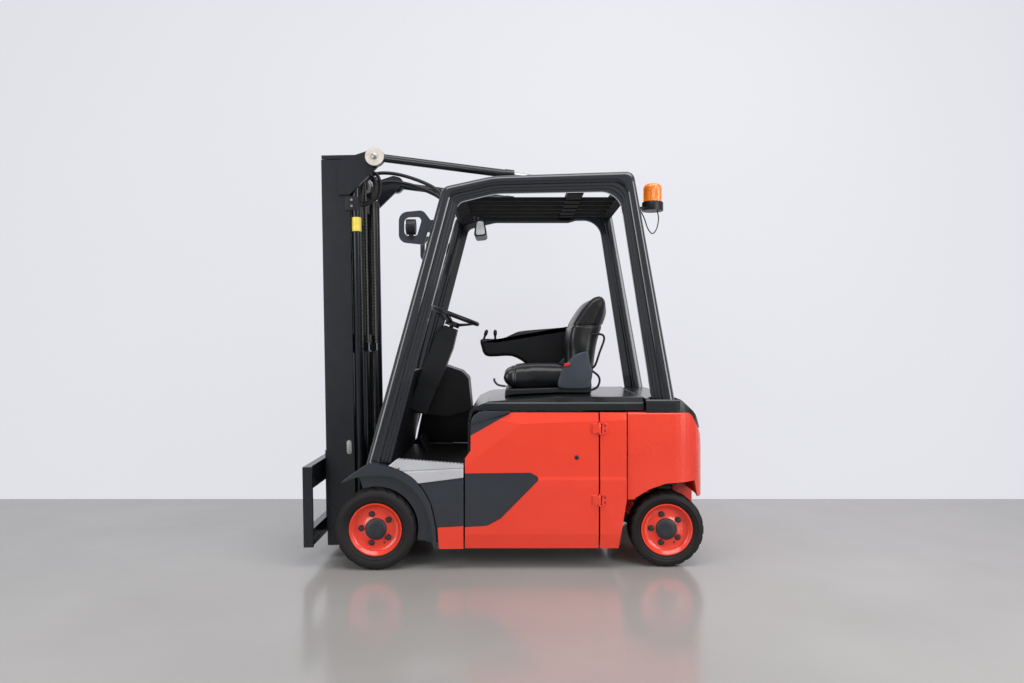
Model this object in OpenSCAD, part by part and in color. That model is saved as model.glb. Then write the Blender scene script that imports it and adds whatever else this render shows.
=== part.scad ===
// Electric counterbalance lift truck with four wheels, parked with a bare fork carriage.
// Millimetres. +X points forward, +Y to the left, +Z up.
// The origin lies on the floor below the middle of the bounding box.

/* [Truck] */
// Width over the front tyres
overall_width = 1090; // [1080:1:1110]
// Distance between the two axles
wheelbase = 1475; // [1465:1:1485]
// From the rear axle back to the tail
rear_overhang = 197.6; // [194:0.1:215]
// From the front axle to the face that takes the forks, mast upright
load_distance = 370; // [362:1:380]
// Forward lean of the parked mast in degrees
mast_lean = 1; // [0:0.1:1.5]
// Underside of the body above the floor
ground_gap = 108; // [100:1:116]
// Top edge of the side panels above the floor
belt_z = 790; // [780:1:795]
// How far the side panels stand inside the overall width
panel_inset = 10; // [5:1:15]
// Width of the seams between body panels
seam = 8; // [6:1:10]

/* [Wheels] */
// Diameter of the front tyres
front_tyre_d = 406; // [400:1:410]
// Width of the front tyres
front_tyre_w = 170; // [160:1:176]
// Diameter of the front rims at the flange
front_rim_d = 265; // [255:1:275]
// Diameter of the rear tyres
rear_tyre_d = 380; // [374:1:384]
// Width of the rear tyres
rear_tyre_w = 135; // [128:1:140]
// Diameter of the rear rims at the flange
rear_rim_d = 262; // [252:1:270]
// How far the rear tyres stand inside the overall width
rear_inset = 55; // [50:1:60]
// From the middle of a rear tyre inward to its kingpin
kingpin_offset = 40; // [36:1:44]
// Diameter of the wheel spindles
spindle_d = 60; // [54:1:64]

/* [Mast] */
// Height of the lowered mast
mast_height = 2143; // [2130:1:2155]
// Width over the outer channels
mast_width = 630; // [622:1:634]
// Depth of the outer channels from front to back
channel_depth = 150; // [146:1:154]
// From the front axle to the middle of the channels
channel_dx = 219; // [217:1:221]
// Thickness of the channel flanges
flange_t = 20; // [18:1:21]
// Thickness of the channel webs
web_t = 14; // [12:1:15]
// Running gap between sliding mast sections
slide_gap = 5; // [5:0.5:6]
// Diameter of the lift cylinder barrels
lift_barrel_d = 48; // [44:1:50]
// Diameter of the lift cylinder rods
lift_rod_d = 32; // [28:1:34]
// Diameter of the chain pulleys
pulley_d = 80; // [76:1:82]
// How far the tilt pins stand below the mast top
tilt_pin_drop = 25; // [22:1:30]
// Diameter of the tilt cylinder barrels
tilt_barrel_d = 42; // [38:1:46]
// Diameter of the tilt cylinder rods
tilt_rod_d = 26; // [22:1:30]
// Distance of the tilt cylinders from the middle
tilt_y = 352; // [350:1:356]

/* [Carriage] */
// Width of the fork carriage
carriage_w = 1000; // [960:1:1040]
// Height of the fork carriage, class two
carriage_h = 407; // [400:1:412]
// Underside of the carriage above the floor
carriage_z = 111; // [100:1:120]
// Thickness of the fork bars
fork_bar_t = 40; // [34:1:44]
// Height of the upper fork bar
upper_bar_h = 116; // [100:1:122]
// Height of the lower fork bar
lower_bar_h = 84; // [70:1:92]

/* [Overhead guard] */
// Width over the guard's side frames
guard_w = 1000; // [990:1:1010]
// Thickness of the guard's side frames
guard_t = 75; // [70:1:78]
// How far the guard's roof stands below the mast top
roof_drop = 127; // [115:1:140]

/* [Bodywork] */
// Top of the hood above the floor
hood_z = 864; // [858:1:870]
// Width of the hood
hood_w = 960; // [950:1:970]
// Wall of the hood
hood_t = 14; // [10:1:18]
// Top of the counterweight above the floor
weight_z = 790; // [786:1:794]
// Top of the rear cover above the floor
cover_z = 861; // [856:1:866]
// Width of the counterweight
weight_w = 1030; // [1010:1:1040]
// Corner radius of the counterweight seen from above
weight_r = 160; // [130:1:180]
// Thickness of the battery door
door_t = 32; // [26:1:36]
// Diameter of the tow pin bore
tow_bore_d = 32; // [26:1:38]

/* [Operator station] */
// Top of the cabin floor
floor_z = 504; // [500:1:508]
// Diameter of the steering wheel
steer_wheel_d = 290; // [270:1:310]
// Lean of the steering axis in degrees
steer_lean = 20.6; // [18:0.2:23]
// Width of the seat cushion
seat_w = 470; // [450:1:490]

/* [Clearances] */
// Gap between pieces that rest on each other
fit = 0.3; // [0.2:0.05:0.4]
// Extra radius of the tilt rod eyes around their pins
eye_play = 7; // [6.5:0.1:8]

/* [Hidden] */

// Stations along the truck, measured from the front axle
axle_z = front_tyre_d / 2;
rear_z = rear_tyre_d / 2;
carriage_top = carriage_z + carriage_h;
reach = load_distance * cos(mast_lean) + (carriage_top - axle_z) * sin(mast_lean);
overall_length = reach + wheelbase + rear_overhang;
front_x = overall_length / 2 - reach;
tail = -wheelbase - rear_overhang;
guard_h = mast_height - roof_drop;
tilt_pin_z = mast_height - tilt_pin_drop;
half_w = overall_width / 2;
panel_y = half_w - panel_inset;
frame_y = panel_y - 39;
front_wheel_y = half_w - front_tyre_w / 2;
rear_wheel_y = half_w - rear_inset - rear_tyre_w / 2;
kingpin_y = rear_wheel_y - kingpin_offset;
weight_x = 205 - wheelbase;
strip_rear = weight_x + seam;
strip_front = strip_rear + 133;
door_rear = strip_front + seam;
door_front = -450;
step_rear = door_front + seam;
hinge_x = strip_front + seam / 2;
hinge_y = panel_y + 2;
hinge_zs = [330, 690];
bulk_front = -462;
bulk_rear = weight_x + 30;
spindle_r = spindle_d / 2;
hood_rear = 120 - wheelbase;

tow_x = tail + 116;

// Fender around the front wheel: outer and inner edge of its lip, from the front tip to the foot
fender_in = front_tyre_d / 2 + 72;
fender_out = fender_in + 33;
fender_top = axle_z + fender_out + 1;
step_front = -fender_out - 4;
lip_outer = [[168, axle_z + 240], [110, axle_z + 284], [32, axle_z + 333], [-24, axle_z + 328],
  [-103, axle_z + 305], [-176, axle_z + 266], [-233, axle_z + 208], [-277, axle_z + 128],
  [-300, axle_z + 20], [-308, axle_z - 84]];
lip_inner = [[-290, axle_z - 84], [-284, axle_z + 10], [-256, axle_z + 112], [-204, axle_z + 192],
  [-128, axle_z + 252], [-52, axle_z + 272], [22, axle_z + 272], [100, axle_z + 262], [166, axle_z + 236]];

// Mast sections seen from above, left half
outer_y = mast_width / 2;
channel_w = 70;
inner_y = outer_y - web_t - 6;
inner_depth = channel_depth - 2 * flange_t - 2 * slide_gap;
inner_w = 80;
inner_t = 20;
roller_r = inner_depth / 2 - inner_t - slide_gap;
back_x = channel_dx - channel_depth / 2;
inner_back = channel_dx - inner_depth / 2;
inner_cross = outer_y - channel_w - slide_gap;
cross_t = 20;
lift_x = back_x - lift_barrel_d / 2 - 2;
lift_y = outer_y - 26;
mast_foot = 72;
outer_top = mast_height - 25;
barrel_top = outer_top - 110;
pulley_z = mast_height - 84;
chain_y = 120;
chain_t = 12;
pulley_x = back_x + 6;
chain_r = pulley_d / 2 + chain_t / 2 + fit;

// Tilt cylinders between the mast top and the roof
tilt_bx = -1016;
tilt_bz = guard_h - 32;
tilt_ax = (tilt_pin_z - axle_z) * sin(mast_lean);
tilt_az = axle_z + (tilt_pin_z - axle_z) * cos(mast_lean);
tilt_len = norm([tilt_bx - tilt_ax, tilt_bz - tilt_az]);
tilt_slope = atan2(tilt_az - tilt_bz, tilt_ax - tilt_bx);
tilt_pin_r = 12;
tilt_barrel_l = tilt_len - 322;

// Side frames of the guard: matching outer and inner corners with their radii
guard_y = guard_w / 2;
guard_in = guard_y - guard_t;
guard_outer = [[62, fender_top], [-331, guard_h - 80], [-590, guard_h - 24], [-1306, guard_h],
  [-52 - wheelbase, weight_z]];
guard_inner = [[-62, fender_top], [-413, guard_h - 158], [-600, guard_h - 112], [-1235, guard_h - 101],
  [66 - wheelbase, weight_z]];
guard_outer_r = [0, 50, 500, 42, 0];
guard_inner_r = [0, 45, 400, 110, 0];
guard_section = [
  [0, 0.5], [0.03, 0.76], [0.11, 0.93], [0.24, 1], [0.42, 0.97], [0.54, 0.9], [0.58, 0.78], [0.71, 0.76],
  [0.73, 0.68], [0.85, 0.66], [0.87, 0.58], [1, 0.56], [1, 0.3], [0.62, 0.24], [0.58, 0.06], [0.3, 0],
  [0.1, 0.06], [0.02, 0.24]];

function unit(v) = v / norm(v);
function wrap(a) = a > 180 ? a - 360 : a < -180 ? a + 360 : a;

// Arc of radius r that rounds corner c between its neighbours p and q
function corner(p, c, q, r, n) =
  let (u = unit(p - c), v = unit(q - c), half = acos(u * v) / 2)
  let (m = c + unit(u + v) * r / sin(half), a = c + u * r / tan(half) - m, b = c + v * r / tan(half) - m)
  let (a0 = atan2(a[1], a[0]), turn = wrap(atan2(b[1], b[0]) - a0))
  [for (i = [0:n]) m + r * [cos(a0 + turn * i / n), sin(a0 + turn * i / n)]];

// Closed outline with each corner rounded by its own radius
function rounded(pts, radii, n = 6) =
  let (k = len(pts))
  [for (i = [0:k - 1]) each radii[i] == 0 ? [pts[i]]
    : corner(pts[(i + k - 1) % k], pts[i], pts[(i + 1) % k], radii[i], n)];

// Open line with its inner corners rounded
function rounded_line(pts, radii, n = 6) =
  let (k = len(pts))
  [for (i = [0:k - 1]) each radii[i] == 0 ? [pts[i]] : corner(pts[i - 1], pts[i], pts[i + 1], radii[i], n)];

// Smooth line through hand-set points
function smooth(p, n) =
  let (k = len(p) - 1)
  concat([for (i = [0:k - 1]) for (j = [0:n - 1])
    let (t = j / n, a = p[max(i - 1, 0)], b = p[i], c = p[i + 1], d = p[min(i + 2, k)])
    b + t * ((c - a) / 2 + t * (a - 2.5 * b + 2 * c - d / 2 + t * (1.5 * b - a / 2 - 1.5 * c + d / 2)))],
    [p[k]]);

module at_axle() {
  translate([front_x, 0, 0]) children();
}

module on_mast() {
  translate([front_x, 0, axle_z])
    rotate([0, mast_lean, 0])
      translate([0, 0, -axle_z]) children();
}

module both() {
  children();
  mirror([0, 1, 0]) children();
}

// Outline in X and Z carried along Y
module slab(points, y0, y1) {
  translate([0, y1, 0])
    rotate([90, 0, 0])
      linear_extrude(y1 - y0) polygon(points);
}

// Outline in Y and Z carried along X
module beam(points, x0, x1) {
  translate([x0, 0, 0])
    rotate([90, 0, 90])
      linear_extrude(x1 - x0) polygon(points);
}

module box(x0, x1, y0, y1, z0, z1) {
  translate([x0, y0, z0]) cube([x1 - x0, y1 - y0, z1 - z0]);
}

// Cylinder along Y
module rod_y(x, z, r, y0, y1) {
  translate([x, y0, z]) rotate([-90, 0, 0]) cylinder(h = y1 - y0, r = r, $fn = 48);
}

// Turned piece around the Y axis, drawn as radius and station
module turned(points) {
  rotate([-90, 0, 0]) rotate_extrude($fn = 72) polygon(points);
}

// Round hose through a list of points
module hose(points, r, sides = 10) {
  k = len(points);
  rings = [for (i = [0:k - 1])
    let (t = unit(points[min(i + 1, k - 1)] - points[max(i - 1, 0)]))
    let (b = unit([0, 1, 0] - t * t[1]), n = cross(b, t))
    for (j = [0:sides - 1]) points[i] + r * (cos(360 * j / sides) * b + sin(360 * j / sides) * n)];
  walls = [for (i = [0:k - 2]) for (j = [0:sides - 1])
    let (m = (j + 1) % sides)
    [i * sides + j, i * sides + m, (i + 1) * sides + m, (i + 1) * sides + j]];
  polyhedron(rings, concat([[for (j = [sides - 1:-1:0]) j]], walls,
    [[for (j = [0:sides - 1]) (k - 1) * sides + j]]));
}

// Side frame of the guard: one section carried around the outline with a changing width
module guard_frame() {
  outer = rounded_line(guard_outer, guard_outer_r);
  inner = rounded_line(guard_inner, guard_inner_r);
  m = len(guard_section);
  k = len(outer);
  points = [for (i = [0:k - 1]) for (s = guard_section)
    let (p = outer[i] + s[0] * (inner[i] - outer[i]))
    [p[0], guard_in + s[1] * guard_t, p[1]]];
  walls = [for (i = [0:k - 2]) for (j = [0:m - 1])
    let (q = (j + 1) % m)
    [i * m + j, i * m + q, (i + 1) * m + q, (i + 1) * m + j]];
  polyhedron(points, concat([[for (j = [m - 1:-1:0]) j]], walls, [[for (j = [0:m - 1]) (k - 1) * m + j]]),
    convexity = 6);
}

// Outer face of the body side seen along the truck
module side_face(x0, x1, inner) {
  difference() {
    beam([[inner, ground_gap - 4], [panel_y - 14, ground_gap - 4], [panel_y - 2, ground_gap + 72],
      [panel_y, 452], [panel_y - 4, 470], [panel_y - 4, belt_z + 4], [inner, belt_z + 4]], x0, x1);
    facet(ridge[0], ridge[1], 18);
    facet(ridge[1], ridge[2], 5);
  }
}

// Everything outside a plane that starts at the line from p to q and leans inward above it
module facet(p, q, tilt) {
  translate([p[0], panel_y - 4, p[1]])
    rotate([0, atan2(p[1] - q[1], q[0] - p[0]), 0])
      rotate([tilt, 0, 0])
        translate([-600, 0, 0]) cube([1800, 100, 600]);
}

// Crease that runs along the top of the body side and down to its front edge
ridge = [[door_rear, belt_z - 41], [door_front - 279, belt_z - 56], [door_front - 8, belt_z - 266]];

function panel_outline(rear) = concat([[door_front, ground_gap], [door_front, 560], [door_front - 28, 600],
  [door_front - 28, 674], [door_front - 233, belt_z]], rear);
insert_outline = rounded([[door_front, 486], [door_front - 330, 489], [door_front - 380, 462],
  [door_front - 178, 258], [door_front - 110, 222], [door_front, 216]], [0, 0, 18, 0, 60, 0]);
accent_outline = [[door_front - 28, 674 + 2 * fit], [door_front - 28, 726], [door_front - 228, belt_z],
  [door_front - 233 + 2 * fit, belt_z]];

module chassis_frame() {
  color("#2b2d30") at_axle() difference() {
    union() {
      box(bulk_rear, bulk_front, -frame_y, frame_y, ground_gap + 10, 150);
      box(bulk_front - 20, bulk_front, -frame_y, frame_y, 149, 738);
      box(bulk_rear, bulk_rear + 15, -430, 430, 149, 790);
      box(weight_x, bulk_rear + 1, -430, 430, 466, 790);
      both() box(bulk_rear, bulk_rear + 100, 440, frame_y, 149, 780);
      both() box(step_rear, step_front, 345, guard_y, ground_gap + 10, floor_z);
      box(bulk_front - 1, -60, -375, 375, floor_z - 12, floor_z);
      both() box(bulk_front - 1, 50, 290, 310, 130, floor_z - 11);
      box(bulk_front - 1, step_front, -346, 346, ground_gap + 10, 150);
    }
    both() rod_y(0, axle_z, 60 + fit, 280, 320);
  }
}

module drive_axle() {
  color("#3a3d41") at_axle() union() {
    rod_y(0, axle_z, 60, -330, 330);
    rod_y(0, axle_z, 112, -190, 190);
    both() rod_y(0, axle_z, 96, 329, front_wheel_y - front_tyre_w / 2 - 10);
    both() rod_y(0, axle_z, spindle_r, 340, front_wheel_y + 48);
  }
}

module battery() {
  color("#1f2022") at_axle() box(bulk_rear + 20, bulk_front - 40, -400, 400, 150, 720);
}

// Counterweight seen from above, inset by d
module weight_plan(d, top) {
  translate([0, 0, 50])
    linear_extrude(top)
      polygon(rounded([[weight_x, weight_w / 2 - d], [tail + d, weight_w / 2 - d],
        [tail + d, d - weight_w / 2], [weight_x, d - weight_w / 2]], [0, weight_r, weight_r, 0], 10));
}

// Counterweight seen from the side
module weight_side() {
  slab(rounded([[weight_x, weight_z], [tail + 82, weight_z], [tail + 18, weight_z - 114],
    [tail, weight_z - 230], [tail, 170], [tail + 40, 150], [tail + 110, 150], [tail + 110, 352],
    [weight_x, 352]],
    [0, 50, 120, 200, 20, 10, 0, 0, 0]), -weight_w / 2 - 1, weight_w / 2 + 1);
}

// Body seen along the truck with rounded top edges
module shoulder(half, top, r, x0, x1) {
  beam(rounded([[-half, 50], [half, 50], [half, top], [-half, top]], [0, 0, r, r]), x0, x1);
}

module counterweight() {
  color("#d8431c") at_axle() difference() {
    intersection() {
      weight_side();
      weight_plan(0, 1000);
      shoulder(weight_w / 2, weight_z, 12, tail - 10, weight_x);
    }
    both() slab([[weight_x - 36, 340], [weight_x - 36, 358], [98 - wheelbase, 402], [12 - wheelbase, 432],
      [tail + 58, 442], [tail + 38, 356], [tail - 1, 356], [tail - 1, 100], [weight_x - 30, 100]], 180, 600);
    both() box(tail + 30, weight_x + 1, 179, 428, 100, 455);
    box(tail + 105, weight_x + 1, -181, 181, 100, 455);
    box(tail - 1, tail + 165, -60, 60, 520, 580);
    translate([tow_x, 0, 470]) cylinder(h = 400, d = tow_bore_d, $fn = 48);
  }
}

module steer_axle() {
  color("#33363a") at_axle() difference() {
    union() {
      box(-wheelbase - 60, -wheelbase + 60, -kingpin_y - 45, kingpin_y + 45, rear_tyre_d + 28, 455);
      box(-wheelbase - 80, -wheelbase + 130, -150, 150, 330, 455);
    }
    both() translate([-wheelbase, kingpin_y, 300]) cylinder(h = 200, r = 24 + fit, $fn = 48);
  }
}

module side_panels() {
  color("#d8431c") at_axle() union() {
    difference() {
      mirror([0, 1, 0]) intersection() {
        slab(panel_outline([[strip_rear, belt_z], [strip_rear, 353], [strip_rear + 40, ground_gap]]),
          frame_y, half_w);
        side_face(strip_rear - 10, door_front + 10, frame_y);
      }
      mirror([0, 1, 0]) slab(insert_outline, 400, 600);
    }
    difference() {
      intersection() {
        slab([[strip_front, ground_gap], [strip_front, belt_z], [strip_rear, belt_z], [strip_rear, 353],
          [strip_rear + 40, ground_gap]], frame_y, half_w);
        side_face(strip_rear - 10, strip_front + 10, frame_y);
      }
      for (z = hinge_zs) translate([hinge_x, hinge_y, z - 8]) cylinder(h = 62, r = 14, $fn = 32);
    }
    for (z = hinge_zs) difference() {
      union() {
        for (d = [-7, 47]) translate([hinge_x, hinge_y, z + d]) cylinder(h = 6, r = 7, $fn = 32);
        for (d = [-7, 47]) box(strip_front - 24, hinge_x, panel_y - 10, hinge_y + 5, z + d, z + d + 6);
        translate([hinge_x, hinge_y, z - 7]) cylinder(h = 60, r = 4, $fn = 32);
      }
    }
    both() slab([[step_front, 214], [step_rear, 222], [step_rear, ground_gap], [step_front - 8, ground_gap]],
      guard_y, panel_y);
  }
}

module side_insert_right() {
  color("#33383f") at_axle() mirror([0, 1, 0]) union() {
    intersection() {
      slab(insert_outline, frame_y, panel_y - 6);
      translate([0, 0, fit]) slab(insert_outline, frame_y - 1, panel_y);
      translate([0, 0, -fit]) slab(insert_outline, frame_y - 1, panel_y);
      translate([-fit, 0, 0]) slab(insert_outline, frame_y - 1, panel_y);
      translate([fit, 0, 0]) slab(insert_outline, frame_y - 1, panel_y);
    }
    intersection() {
      slab(accent_outline, frame_y, half_w);
      side_face(door_front - 300, door_front, frame_y);
    }
  }
}

// Wheel opening of the body side: the lip with a small gap around it
module lip_clear(y0, y1) {
  edge = [for (p = smooth(lip_outer, 3)) p + unit(p - [0, axle_z]) * 3];
  slab(concat([[168, 0]], edge, [[-311, 0]]), y0, y1);
}

module step_plates() {
  color("#b9bcc0") at_axle() both() difference() {
    slab([[-52, 506], [-62, 520], [-107, 556], [step_rear, 530], [step_rear, 466 + fit], [-177, 432 + fit]],
      guard_y + fit, panel_y + 5);
    lip_clear(450, 600);
    slab([[-110, 490], [step_rear - 1, 508], [step_rear - 1, 514], [-110, 498]], panel_y + 2, half_w);
  }
}

module sill_panels() {
  color("#33383f") at_axle() both() difference() {
    slab([[-177, 432], [step_rear, 466], [step_rear, 222 + fit], [step_front - 2, 214 + fit], [-260, 300]],
      guard_y, panel_y - 2);
    lip_clear(450, 600);
  }
}

module front_fenders() {
  color("#33383f") at_axle() both() difference() {
    union() {
      slab(concat(smooth(lip_outer, 3), smooth(lip_inner, 3)), guard_y + 2, half_w);
      intersection() {
        rod_y(0, axle_z, fender_in + 14, 380, guard_y + 3);
        slab([[0, axle_z], [-600, axle_z - 150], [-600, axle_z + 600], [200, axle_z + 600]], 300, 600);
      }
      slab([[-66, axle_z + 240], [-66, fender_top], [66, fender_top], [66, axle_z + 240]], 380, guard_y + 7);
      intersection() {
        slab([[-206, 135], [step_front, 135], [step_front, 300], [-200, 440], [-120, 400]], 470, 480);
        rod_y(0, axle_z, fender_in + 14, 460, 490);
      }
      box(step_front, -fender_in - 4, 385, guard_y - 1, 130, 300);
    }
    difference() {
      rod_y(0, axle_z, fender_in, 370, guard_y + 1);
      box(-400, -150, 470, 480, 100, 600);
    }
    rod_y(0, axle_z, front_tyre_d / 2 + 9, 370, 560);
  }
}

module guard_left() {
  color("#3a4048") at_axle() guard_frame();
}

module guard_right() {
  color("#3a4048") at_axle() mirror([0, 1, 0]) guard_frame();
}

module roof_frame() {
  color("#3a4048") at_axle() union() {
    slab([[-352, guard_h - 122], [-420, guard_h - 92], [-440, guard_h - 92], [-440, guard_h - 118],
      [-380, guard_h - 140]], -guard_in, guard_in);
    box(tilt_bx - 40, tilt_bx + 40, -guard_in, guard_in, guard_h - 106, guard_h - 71);
    box(-1300, -1240, -guard_in, guard_in, guard_h - 100, guard_h - 35);
    for (y = [-240:120:240]) box(-1241, -430, y - 11, y + 11, guard_h - 110, guard_h - 89);
    both() for (s = [-1, 1])
      slab([[tilt_bx - 34, guard_h - 72], [tilt_bx - 22, guard_h - 10], [tilt_bx + 22, guard_h - 10],
        [tilt_bx + 34, guard_h - 72]], tilt_y + s * 28 - 6, tilt_y + s * 28 + 6);
    both() rod_y(tilt_bx, tilt_bz, tilt_pin_r, tilt_y - 38, tilt_y + 38);
  }
}

module roof_console() {
  color("#1d1e20") at_axle() difference() {
    slab(rounded([[-458, guard_h - 110], [-480, guard_h - 62], [-1060, guard_h - 62], [-1082, guard_h - 110],
      [-1040, guard_h - 122], [-500, guard_h - 122]], [0, 10, 10, 0, 0, 0]), -guard_in, -guard_in + 90);
    box(tilt_bx - 40 - fit, tilt_bx + 40 + fit, -600, 600, guard_h - 106 - fit, guard_h + 10);
  }
}

module floor_mat() {
  color("#161718") at_axle() union() {
    box(bulk_front + 2, step_front, -frame_y + fit, frame_y - fit, floor_z, floor_z + 6);
    box(step_front - 1, -78, -375, 375, floor_z, floor_z + 6);
  }
}

module steer_frame() {
  translate([-362, 0, 1294]) rotate([0, -steer_lean, 0]) children();
}

module dash_console() {
  color("#1b1c1e") at_axle() union() {
    slab([[-62, floor_z], [-40, floor_z + 22], [-76, floor_z + 22], [-76, floor_z]], -376, 376);
    slab([[-40, floor_z + 21], [-116, 985], [-146, 985], [-76, floor_z + 21]], -guard_in + 4, guard_in - 4);
    steer_frame() box(-46, 60, -42, 42, -580, -420);
    intersection() {
      slab(rounded([[-100, 720], [-130, 985], [-263, 1012], [-383, 970], [-425, 928], [-443, 740],
        [-300, 700]], [0, 0, 20, 30, 30, 20, 0]), -guard_in + 4, -200);
      beam(rounded([[-guard_in + 4, 600], [-200, 600], [-200, 1020], [-guard_in + 4, 1020]], [0, 0, 40, 20]),
        -500, -50);
    }
  }
}

module steering_column() {
  color("#222326") at_axle() steer_frame() union() {
    slab([[-50, -420 + fit], [-54, -180], [-40, -70], [36, -70], [62, -140], [66, -420 + fit]], -45, 45);
    translate([0, 0, -75]) cylinder(h = 33, r = 12, $fn = 32);
  }
}

module pedals() {
  color("#202124") at_axle() for (y = [-150, -50])
    slab([[-215, floor_z + 6], [-165, 600], [-150, 594], [-195, floor_z + 6]], y - 35, y + 35);
}

// Hinge line of the hood, in the seam in front of the rear cover
hood_pin_x = hood_rear - seam / 2;
hood_pin_z = hood_z - 8;

module rear_cover() {
  color("#1d1e20") at_axle() union() {
    difference() {
      intersection() {
        slab(rounded([[hood_rear - seam, weight_z - 90], [hood_rear - seam, cover_z], [tail + 140, cover_z],
          [tail + 50, weight_z - 9], [tail + 19, weight_z - 86]], [0, 4, 50, 90, 0]),
          -weight_w / 2, weight_w / 2);
        weight_plan(3, 1000);
        shoulder(weight_w / 2 - 3, cover_z, 24, tail, weight_x);
      }
      translate([-fit, 0, fit]) weight_side();
      both() box(-62 - wheelbase, 92 - wheelbase, guard_in - 4, guard_y + 4, weight_z - 1, cover_z + 10);
      translate([tow_x, 0, weight_z - 30]) cylinder(h = 200, r = tow_bore_d, $fn = 48);
      both() box(hood_rear - seam - 8, hood_rear, 238, 302, cover_z - 24, cover_z + 10);
    }
    both() for (y = [238, 296])
      box(hood_rear - seam - 9, hood_pin_x + 3, y, y + 6, cover_z - 20, cover_z - 1);
    both() rod_y(hood_pin_x, hood_pin_z, 3, 238, 302);
  }
}

lamp_z = guard_h - 283;
lamp_tip = -106;

// Front edge of the front pillar at a height
function pillar_x(z) = guard_outer[0][0] + (guard_outer[1][0] - guard_outer[0][0])
  * (z - guard_outer[0][1]) / (guard_outer[1][1] - guard_outer[0][1]);

module lamp_guards() {
  color("#34383e") at_axle() both() union() {
    difference() {
      slab(rounded([[lamp_tip - 130, lamp_z - 90], [lamp_tip, lamp_z - 76], [lamp_tip, lamp_z + 76],
        [lamp_tip - 124, lamp_z + 88], [lamp_tip - 164, lamp_z + 36]], [8, 42, 46, 36, 20]),
        guard_in + 21, guard_in + 29);
      slab(rounded([[lamp_tip - 94, lamp_z - 42], [lamp_tip - 28, lamp_z - 46], [lamp_tip - 28, lamp_z + 50],
        [lamp_tip - 122, lamp_z + 54]], [14, 26, 26, 20]), guard_in, guard_in + 50);
    }
    slab([[lamp_tip - 150, lamp_z - 26], [lamp_tip - 150, lamp_z + 36],
      [pillar_x(lamp_z + 36) + 1, lamp_z + 36],
      [pillar_x(lamp_z - 26) + 1, lamp_z - 26]], guard_in + 8, guard_in + 42);
  }
}

module work_lamps() {
  color("#17181a") at_axle() both() union() {
    translate([lamp_tip - 86, guard_in + 25, lamp_z + 2])
      rotate([0, 90, 0]) cylinder(h = 46, r = 40, $fn = 48);
    box(lamp_tip - 76, lamp_tip - 52, guard_in + 29, guard_in + 37, lamp_z - 60, lamp_z - 30);
  }
}

module inside_mirror() {
  color("#1a1b1d") at_axle() union() {
    slab(rounded([[-456, guard_h - 240], [-470, guard_h - 136], [-520, guard_h - 140], [-536, guard_h - 232]],
      [16, 16, 20, 20]), -400, -200);
    translate([-480, -240, guard_h - 150]) cylinder(h = 40, r = 7, $fn = 24);
  }
}

beacon_x = -1435;
beacon_y = 300;

module beacon_base() {
  color("#17181a") at_axle() union() {
    translate([beacon_x, beacon_y, guard_h - 173]) cylinder(h = 43, r = 56, $fn = 64);
    box(beacon_x, -1300, beacon_y - 30, beacon_y + 30, guard_h - 165, guard_h - 155);
    box(-1310, -1300, beacon_y - 30, beacon_y + 30, guard_h - 165, guard_h - 40);
  }
}

module beacon_lens() {
  color("#e8761c") at_axle() translate([beacon_x, beacon_y, guard_h - 130])
    rotate_extrude($fn = 64) polygon(rounded([[0, 0], [48, 0], [48, 101], [0, 101]], [0, 0, 22, 0]));
}

lead_route = [[-1460, 300, guard_h - 173], [-1466, 305, guard_h - 215], [-1452, 325, guard_h - 270],
  [-1425, 350, guard_h - 300], [-1395, 385, guard_h - 280], [-1370, 418, guard_h - 232],
  [-1347, 440, guard_h - 196]];

module beacon_lead() {
  color("#121314") at_axle() hose(smooth(lead_route, 4), 3, 8);
}

hose_r = 10;
hose_ys = [-205, -172, 60];
hose_x = back_x - cross_t - hose_r - fit;
hose_top = outer_top - 128;

// Point of the upright mast carried to the parked lean
function leaned(x, y, z) = [x * cos(mast_lean) + (z - axle_z) * sin(mast_lean), y,
  axle_z + (z - axle_z) * cos(mast_lean) - x * sin(mast_lean)];

module supply_hoses() {
  color("#121314") at_axle() for (y = hose_ys)
    hose(smooth([leaned(hose_x, y, hose_top + 1), leaned(hose_x - 4, y, hose_top + 60),
      leaned(hose_x - 70, y, hose_top + 108), leaned(hose_x - 210, y, hose_top + 96), [-235, y, guard_h + 6],
      [-318, y, guard_h - 80], [-350 + hose_r, y, guard_h - 124]], 5), hose_r, 10);
}

module battery_door() {
  color("#d8431c") at_axle() difference() {
    union() {
      intersection() {
        slab(panel_outline([[door_rear, belt_z], [door_rear, ground_gap]]), panel_y - door_t, half_w);
        side_face(door_rear - 10, door_front + 10, panel_y - door_t);
      }
      for (z = hinge_zs) translate([hinge_x, hinge_y, z]) cylinder(h = 46, r = 7, $fn = 32);
      for (z = hinge_zs) box(hinge_x, door_rear + 30, panel_y - 10, hinge_y + 5, z, z + 46);
    }
    slab(insert_outline, 400, 600);
    for (z = hinge_zs) for (d = [-9, 46])
      translate([hinge_x, hinge_y, z + d]) cylinder(h = 9, r = 9, $fn = 32);
    translate([hinge_x, hinge_y, 300]) cylinder(h = 500, r = 4 + fit, $fn = 32);
    translate([door_rear + 110, panel_y - 12, 566]) rotate([-90, 0, 0]) cylinder(h = 40, r = 12, $fn = 32);
  }
}

module door_insert() {
  color("#33383f") at_axle() union() {
    intersection() {
      slab(insert_outline, panel_y - door_t, panel_y - 6);
      translate([0, 0, fit]) slab(insert_outline, 400, panel_y);
      translate([0, 0, -fit]) slab(insert_outline, 400, panel_y);
      translate([fit, 0, 0]) slab(insert_outline, 400, panel_y);
    }
    intersection() {
      slab(accent_outline, panel_y - door_t, half_w);
      side_face(door_front - 300, door_front, panel_y - door_t);
    }
  }
}

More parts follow.
